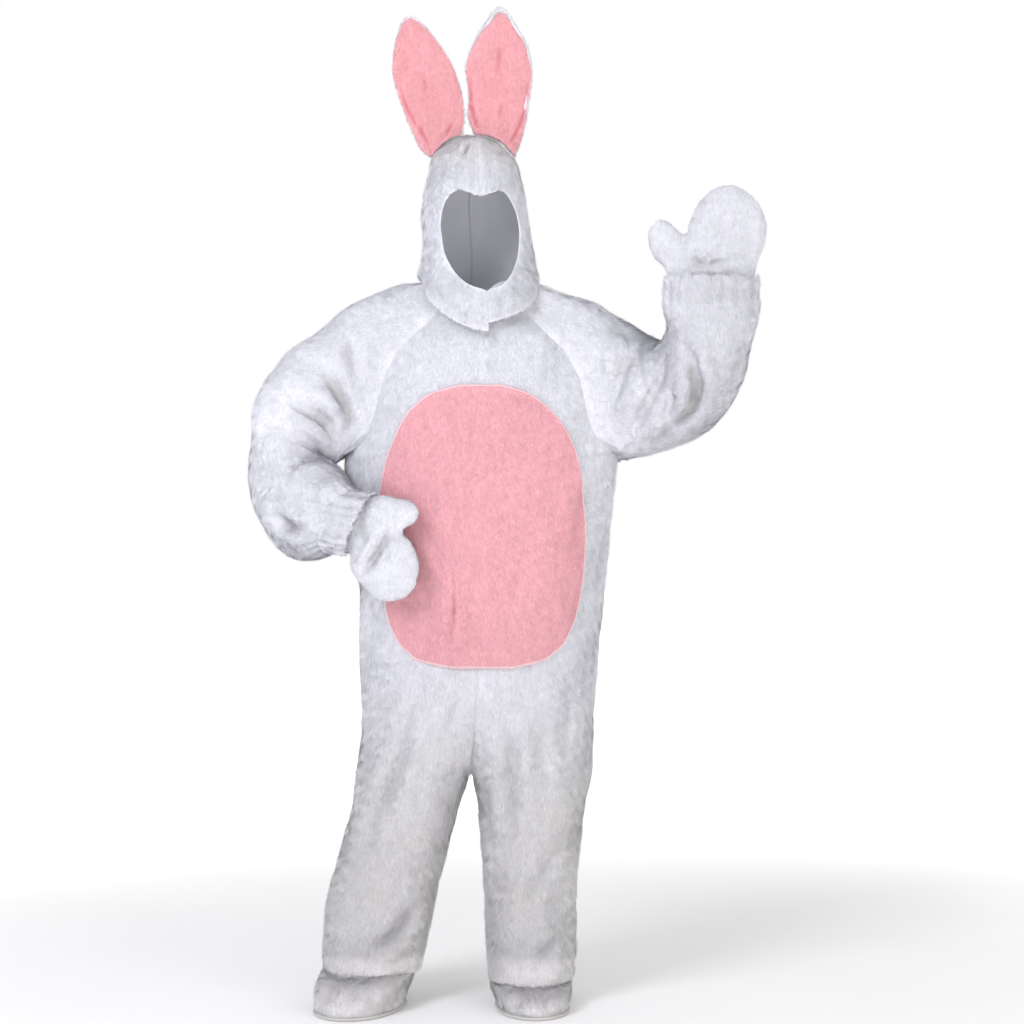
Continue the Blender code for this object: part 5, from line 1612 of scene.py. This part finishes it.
def panel_cloth(side, face):
    """A jumpsuit front or back on its own rows, with its creases. Under the belly patch it has no pile."""
    name = f"{FACE_NAMES[face]}_{SIDE_NAMES[side]}"
    heights = np.linspace(HEM_HEIGHT[side], NECK_HEIGHT, BODY_ROWS)
    across, height = np.meshgrid(np.linspace(0, 1, BODY_COLUMNS), heights)
    if face == FRONT:
        raised = np.clip((height - SCOOP_START) / (NECK_HEIGHT - SCOOP_START), 0, 1)
        height = height - NECK_SCOOP * raised * across**2
    points, inward = body(side, face, across, height)
    creases = FRONT_CREASES if face == FRONT else BACK_CREASES
    dent = crease_depth(creases, points) * facing(inward, face, CREASE_FACING)
    from_middle = np.abs(points[..., 0] - TRUNK.read("middle", height)) / SEAM_CLOSING
    inward[..., 0] *= np.where(height >= CROTCH_HEIGHT - SEAM_MARGIN, np.clip(from_middle, 0, 1), 1)
    cloth = Cloth(name, points, inward, False, ("left", "right"), dent, PANEL_DIP)
    if face == FRONT:
        cloth.keep[inside_patch(points[..., 0], height, PATCH_HIDES)] = 0
    return cloth


def inside_patch(x, height, margin):
    """Whether a point lies inside the patch's outline by at least the margin."""
    left = PATCH.read("left", height) + margin
    right = PATCH.read("right", height) - margin
    held = (height > PATCH.key[0] + margin) & (height < PATCH.key[-1] - margin)
    return held & (x > left) & (x < right)


def sleeve_cloth(side):
    """A sleeve with its creases, the gathers above the elastic and the elastic's pinch."""
    points, inward, share, around = sleeve_points(side)
    dent = 0
    for face in (FRONT, BACK):
        counts = facing(inward, face, CREASE_FACING) * np.clip(share / SLEEVE_END, 0, 1)
        dent = dent + crease_depth(SLEEVE_CREASES[side, face], points) * counts
    spacing = np.linalg.norm(np.gradient(points, axis=0), axis=-1)
    crease = dent * np.clip(spacing / CROWDED, LEAST_CROWDED, 1) ** 2
    depth, height, reach = ELBOW_PINCH[side]
    dent = crease + depth * bell(points[..., 2] - height, reach) * np.clip(-side * inward[..., 0], 0, 1)
    gather = (1 - np.sin(gather_turns(around, CUFF_WAVES))) / 2
    dent = dent + GATHER_DEPTH * gather * bell(1 - share, GATHER_SHARE)
    dent = dent + PINCH_DEPTH * bell(1 - share, PINCH_SHARE)
    nap = np.gradient(points, axis=0)
    name = f"sleeve_{SIDE_NAMES[side]}"
    return Cloth(name, points, inward, True, ("first",), dent, SLEEVE_DIP, nap, crease)


def cuff_cloth(side):
    """A cuff's heading with its gathers, deepest at the elastic."""
    points, inward = cuff_points(side)
    share = np.linspace(0, 1, CUFF_FINE_ROWS)[:, None]
    around = np.arange(CUFF_FINE_COLUMNS) / CUFF_FINE_COLUMNS
    gather = GATHER_DEPTH * (1 - np.sin(gather_turns(around, CUFF_WAVES))) / 2 * (1 - share) ** 2
    dent = gather + PINCH_DEPTH * (1 - share) ** 2
    nap = np.gradient(points, axis=0)
    return Cloth(f"cuff_{SIDE_NAMES[side]}", points, inward, True, (), dent, CUFF_DIP, nap, gather)


class COSTUME_OT_jumpsuit(bpy.types.Operator):
    """Builds the jumpsuit's two fronts and two backs"""

    bl_idname = "costume.jumpsuit"
    bl_label = "Jumpsuit panels"

    def execute(self, context):
        for side in (RIGHT, LEFT):
            for face in (FRONT, BACK):
                dress(panel_cloth(side, face), "white_plush")
        return {"FINISHED"}


class COSTUME_OT_sleeves(bpy.types.Operator):
    """Builds both raglan sleeves and their gathered cuffs"""

    bl_idname = "costume.sleeves"
    bl_label = "Sleeves and cuffs"

    def execute(self, context):
        for side in (RIGHT, LEFT):
            dress(sleeve_cloth(side), "white_plush")
            dress(cuff_cloth(side), "white_plush", TRIM_BACKING,
                  length=PILE_SHARE["cuff"])
        return {"FINISHED"}


def stitched_edge(cloth):
    """Satin stitches over the patch's rim. Each is a small tube from the patch's face, over its edge and
    down to the fronts: three square rings of points and two pointed ends."""
    grid, out = cloth.points, cloth.out
    rim = [np.concatenate([f[0, :-1], f[:-1, -1], f[-1, :0:-1], f[:0:-1, 0]]) for f in (grid, out)]
    inner = np.concatenate([grid[2, :-1], grid[:-1, -3], grid[-3, :0:-1], grid[:0:-1, 2]])
    loop = np.concatenate([rim[0], rim[0][:1]])
    run = length_along(loop)
    at = np.arange(0, run[-1] - STITCH_STEP / 2, STITCH_STEP)

    def along(values):
        """The rim's values at each stitch."""
        values = np.concatenate([values, values[:1]])
        return np.stack([np.interp(at, run, values[:, axis]) for axis in range(3)], axis=1)

    edge, normal = along(rim[0]), unit(along(rim[1]))
    ahead = unit(np.roll(edge, -1, axis=0) - np.roll(edge, 1, axis=0))
    away = np.cross(ahead, normal)
    away *= np.sign(np.sum(away * (edge - along(inner)), axis=1, keepdims=True))
    rng = np.random.default_rng(STITCH_SEED)
    reach = STITCH_REACH * rng.uniform(*STITCH_UNEVEN, (len(at), 1))
    lean = ahead * rng.uniform(*STITCH_LEAN, (len(at), 1)) * STITCH_STEP
    path = [
        edge - away * reach - lean + normal * STITCH_HIGH,
        edge + away * STITCH_RADIUS + normal * STITCH_RADIUS,
        edge + away * (2 * STITCH_RADIUS) + lean - normal * STITCH_DROP,
    ]
    corners = [(STITCH_RADIUS, 0), (0, STITCH_RADIUS), (-STITCH_RADIUS, 0), (0, -STITCH_RADIUS)]
    rings = [place + ahead * one + unit(normal + away) * other for place in path for one, other in corners]
    points = np.stack(rings, axis=1)
    side = [(4 * level + k, 4 * level + (k + 1) % 4, 4 * level + (k + 1) % 4 + 4, 4 * level + k + 4)
            for level in range(2) for k in range(4)]
    faces = np.array(side + [(3, 2, 1, 0), (8, 9, 10, 11)])
    square = np.repeat(np.arange(len(at)) / len(at), len(faces))[:, None, None]
    faces = (np.arange(len(at))[:, None, None] * len(rings) + faces).reshape(-1, 4)
    uvs = np.tile([(0, 0), (1, 0), (1, 1), (0, 1)], (len(faces), 1, 1)) * STITCH_SHARE / len(at) + square
    made = welded("patch_edge_stitches", points.reshape(-1, 3), faces, uvs, np.zeros(len(faces), int),
                  [thread_material(STITCH_COLOUR)])
    return made


class COSTUME_OT_belly_patch(bpy.types.Operator):
    """Builds the pink oval on the belly and its stitched edge"""

    bl_idname = "costume.belly_patch"
    bl_label = "Belly patch"

    def execute(self, context):
        points, inward = patch_points()
        dent = crease_depth(FRONT_CREASES + PATCH_CREASE, points)
        cloth = Cloth("belly_patch", points, inward, dent=dent, dip=0.0)
        stitches = stitched_edge(cloth)
        dress(cloth, "pink_plush", length=PILE_SHARE["patch"],
              cut=box_of)
        return {"FINISHED"}


class COSTUME_OT_back_placket(bpy.types.Operator):
    """Builds the strip that covers the back opening"""

    bl_idname = "costume.back_placket"
    bl_label = "Back placket"

    def execute(self, context):
        points, inward = placket_points()
        cloth = Cloth("back_placket", points, inward, dip=PLACKET_DIP,
                      dent=crease_depth(BACK_CREASES, points))
        dress(cloth, "white_plush", TRIM_BACKING,
              length=PILE_SHARE["placket"])
        return {"FINISHED"}


class COSTUME_OT_hood(bpy.types.Operator):
    """Builds the two hood halves with the bib on the chest"""

    bl_idname = "costume.hood"
    bl_label = "Hood"

    def execute(self, context):
        for side in (RIGHT, LEFT):
            points, inward = hood_points(side)
            from_edge = np.clip(edge_distance(points, ("left",), False) / HOOD_PLAIN, 0, 1)
            counts = facing(inward, FRONT, FOLD_FACING) * from_edge**2
            dent = crease_depth(HOOD_CREASES, points) * counts
            cloth = Cloth(f"hood_{SIDE_NAMES[side]}", points, inward, False, ("last", "left", "right"),
                          dent, HOOD_DIP)
            dress(cloth, "white_plush")
        return {"FINISHED"}


def pillow_cloth(name, points, inward, creases, towards, edges=("last",)):
    """A half of an ear or mitt. Its nap runs towards the tip, and outwards near the rim."""
    kind = name[:3]
    slope, taken = PILLOW_FACING
    squarely = np.clip(np.abs(inward[..., 1]) * slope - taken, 0, 1)
    ring = np.sin(np.pi / 2 * np.clip(np.arange(len(points)) / (PILLOW_FINE_RINGS - 1), 0, 1))[:, None]
    dent = crease_depth(creases, points) * squarely
    dent = dent * np.clip((1 - ring) / RIM_PLAIN[kind], 0, 1)
    rim = (np.linspace(0, 1, len(points)) ** 2)[:, None, None]
    nap = unit(np.asarray(towards, float)) + RIM_NAP * rim * unit(points - points[0, 0] + 1e-9)
    return Cloth(name, points, inward, True, edges, dent, PILLOW_DIP, nap, dent * PILLOW_SHADE[kind])


class COSTUME_OT_ears(bpy.types.Operator):
    """Builds both ears: white backs and pink fronts"""

    bl_idname = "costume.ears"
    bl_label = "Ears"

    def execute(self, context):
        for side in (RIGHT, LEFT):
            for face in (FRONT, BACK):
                points, inward = ear_points(side, face)
                name = f"ear_{FACE_NAMES[face]}_{SIDE_NAMES[side]}"
                cloth = pillow_cloth(name, points, inward, EAR_CREASES[side], EAR_NAP,
                                     ("last",) if face == FRONT else ())
                kind = "pink_plush" if face == FRONT else "white_plush"
                dress(cloth, kind, TRIM_BACKING, box_of, PILE_SHARE["ear"])
        return {"FINISHED"}


class COSTUME_OT_mitts(bpy.types.Operator):
    """Builds both mitts, each a palm and a back"""

    bl_idname = "costume.mitts"
    bl_label = "Mitts"

    def execute(self, context):
        for side in (RIGHT, LEFT):
            for face in (FRONT, BACK):
                points, inward = mitt_points(side, face)
                part = "palm" if face == FRONT * side else "back"
                name = f"mitt_{part}_{SIDE_NAMES[side]}"
                cloth = pillow_cloth(name, points, inward, MITT_CREASES[side], MITT_NAP[side])
                dress(cloth, "white_plush", TRIM_BACKING,
                      box_of, PILE_SHARE["mitt"])
        return {"FINISHED"}


def foot_cloth(side, part):
    """Half of a foot cover, from the seam over the toe round its inner or outer side."""
    grid = foot_points(side)
    inward = grid_inward(grid, True, side)
    half = FOOT_FINER * PANEL_COLUMNS
    start = half // 2 + (half if part == "outer" else 0)
    columns = np.arange(start, start + half + 1) % (2 * half)
    points, inward = grid[:, columns], inward[:, columns]
    dent = crease_depth(FOOT_CREASES, points)
    nap = -np.gradient(points, axis=0)
    return Cloth(f"foot_{part}_{SIDE_NAMES[side]}", points, inward, False, ("first", "left", "right"),
                 dent, FOOT_DIP, nap)


def sole_object(side, weave):
    """A flat sole with a rounded edge: rings from the middle of its top, round the edge, to the middle
    of its underside. The top fills the left part of the texture square and the underside the right."""
    angle = np.arange(SOLE_POINTS) * 2 * np.pi / SOLE_POINTS
    radius = SOLE_THICKNESS / 2
    rings = [(share, 0.0, SOLE_THICKNESS) for share in SOLE_RINGS]
    for turn in np.linspace(np.pi / 2, -np.pi / 2, SOLE_EDGE_RINGS):
        rings.append((1.0, radius * (np.cos(turn) - 1) + SOLE_EDGE, radius + radius * np.sin(turn)))
    rings += [(share, 0.0, 0.0) for share in SOLE_RINGS[::-1]]
    x, y = FOOT[side][:2]
    grid = []
    for share, grown, height in rings:
        ring_x, ring_y = foot_ring(side, angle, grown if share == 1.0 else SOLE_EDGE - radius)
        grid.append(stack(x + (ring_x - x) * share, y + (ring_y - y) * share, height - HELD_HEIGHT))
    grid = np.array(grid)
    rows, columns = grid.shape[:2]
    row, column = quads(rows, columns, True)
    faces = row * columns + column % columns
    faces = faces[:, ::-1] if side > 0 else faces
    flat = grid[..., :2].reshape(-1, 2)
    place = (flat - flat.min(axis=0)) / np.ptp(flat, axis=0) * (SOLE_SHARE, 1)
    under = row.min(axis=1)[:, None, None] >= rows // 2
    uvs = place[faces] + np.where(under, [1 - SOLE_SHARE, 0], [0, 0])
    return welded(f"cloth_sole_{SIDE_NAMES[side]}", grid.reshape(-1, 3), faces, uvs,
                  np.zeros(len(faces), int), [weave])


class COSTUME_OT_feet(bpy.types.Operator):
    """Builds both foot covers: uppers in two halves and flat soles"""

    bl_idname = "costume.feet"
    bl_label = "Foot covers"

    def execute(self, context):
        weave = sole_material(context.scene.costume.sole)
        for side in (RIGHT, LEFT):
            name = SIDE_NAMES[side]
            for part in ("inner", "outer"):
                dress(foot_cloth(side, part), "white_plush", TRIM_BACKING,
                      length=PILE_SHARE["foot"])
            sole = sole_object(side, weave)
            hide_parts(f"sole_{name}")
        return {"FINISHED"}


class COSTUME_OT_stage(bpy.types.Operator):
    """Builds the pale studio floor, the soft lights and the camera"""

    bl_idname = "costume.stage"
    bl_label = "Studio stage"

    def execute(self, context):
        floor_disc(context.scene.costume.floor_tone)
        for name, light in LIGHTS.items():
            studio_light(name, *light)
        studio_world(context.scene)
        camera = bpy.data.cameras.new("photo_camera")
        camera.lens = CAMERA_LENS
        camera.sensor_width = CAMERA_SENSOR
        made = scene_object("photo_camera", camera)
        made.location = CAMERA_PLACE
        made.rotation_euler = (np.pi / 2, 0, 0)
        context.scene.camera = made
        context.scene.view_settings.view_transform = "Standard"
        return {"FINISHED"}


def floor_disc(tone):
    """A round floor whose paleness passes into the bright surroundings at its rim."""
    angle = np.arange(FLOOR_POINTS) * 2 * np.pi / FLOOR_POINTS
    rings = FLOOR_RINGS[:, None]
    grid = stack(rings * np.cos(angle), rings * np.sin(angle), FLOOR_HEIGHT)
    row, column = quads(len(rings), FLOOR_POINTS, True)
    faces = row * FLOOR_POINTS + column % FLOOR_POINTS
    mesh = bpy.data.meshes.new("floor")
    mesh.from_pydata(grid[0, :1].tolist() + grid[1:].reshape(-1, 3).tolist(), [], floor_faces(faces))
    made = scene_object("floor", mesh)
    graph = Graph("floor", roughness=0.7, sheen=0.0)
    away = graph.node("ShaderNodeVectorMath", {0: graph.place}, operation="LENGTH").outputs["Value"]
    glow = graph.ramp(away, *FLOOR_GLOW, 0.0, 1.0)
    graph.colour((tone, tone, tone), graph.noise(3.0, 0.99, 1.01))
    graph.shader.inputs["Emission Color"].default_value = (1, 1, 1, 1)
    graph.tree.links.new(glow, graph.shader.inputs["Emission Strength"])
    mesh.materials.append(graph.material)


def floor_faces(faces):
    """The disc's faces with its middle as one point."""
    faces = np.maximum(faces - (FLOOR_POINTS - 1), 0)
    return [list(dict.fromkeys(face)) for face in faces.tolist()]


def studio_light(name, place, size, power, colour):
    """A soft square light that looks at the neck, the scene's zero."""
    light = bpy.data.lights.new(name, "AREA")
    light.size = size
    light.energy = power
    light.color = colour
    made = scene_object(name, light)
    made.location = place
    way = -unit(np.array(place, float))
    made.rotation_euler = (np.arccos(-way[2]), 0, np.arctan2(way[1], way[0]) - np.pi / 2)


def studio_world(scene):
    """Even soft light from all round that grows to full white behind the costume."""
    world = bpy.data.worlds.new("studio")
    scene.world = world
    world.use_nodes = True
    tree = world.node_tree
    back = tree.nodes["Background"]
    back.inputs["Color"].default_value = (1, 1, 1, 1)
    place = tree.nodes.new("ShaderNodeTexCoord")
    axes = tree.nodes.new("ShaderNodeSeparateXYZ")
    spread = tree.nodes.new("ShaderNodeMapRange")
    spread.interpolation_type = "SMOOTHSTEP"
    for limit, value in zip(("From Min", "From Max", "To Min", "To Max"), (*WORLD_RISE, WORLD_LEVEL, 1.0)):
        spread.inputs[limit].default_value = value
    tree.links.new(place.outputs["Generated"], axes.inputs["Vector"])
    tree.links.new(axes.outputs["Y"], spread.inputs["Value"])
    tree.links.new(spread.outputs["Result"], back.inputs["Strength"])


class COSTUME_PT_panel(bpy.types.Panel):
    """Lists the costume's settings and pieces"""

    bl_label = "Bunny Costume"
    bl_idname = "COSTUME_PT_panel"
    bl_space_type = "VIEW_3D"
    bl_region_type = "UI"
    bl_category = "Costume"

    def draw(self, context):
        settings = context.scene.costume
        for name in CostumeSettings.__annotations__:
            self.layout.prop(settings, name)
        for operator in OPERATORS:
            self.layout.operator(operator.bl_idname)


OPERATORS = (
    COSTUME_OT_jumpsuit,
    COSTUME_OT_sleeves,
    COSTUME_OT_belly_patch,
    COSTUME_OT_back_placket,
    COSTUME_OT_hood,
    COSTUME_OT_ears,
    COSTUME_OT_mitts,
    COSTUME_OT_feet,
    COSTUME_OT_stage,
)
CLASSES = (CostumeSettings, *OPERATORS, COSTUME_PT_panel)


def register():
    """Adds the costume's settings, operators and panel."""
    for kind in CLASSES:
        bpy.utils.register_class(kind)
    bpy.types.Scene.costume = bpy.props.PointerProperty(type=CostumeSettings)


def unregister():
    """Takes away what register added."""
    del bpy.types.Scene.costume
    for kind in reversed(CLASSES):
        bpy.utils.unregister_class(kind)


def main():
    """Builds all pieces and the stage."""
    register()
    bpy.ops.costume.jumpsuit()
    bpy.ops.costume.sleeves()
    bpy.ops.costume.belly_patch()
    bpy.ops.costume.back_placket()
    bpy.ops.costume.hood()
    bpy.ops.costume.ears()
    bpy.ops.costume.mitts()
    bpy.ops.costume.feet()
    bpy.ops.costume.stage()


if __name__ == "__main__":
    main()
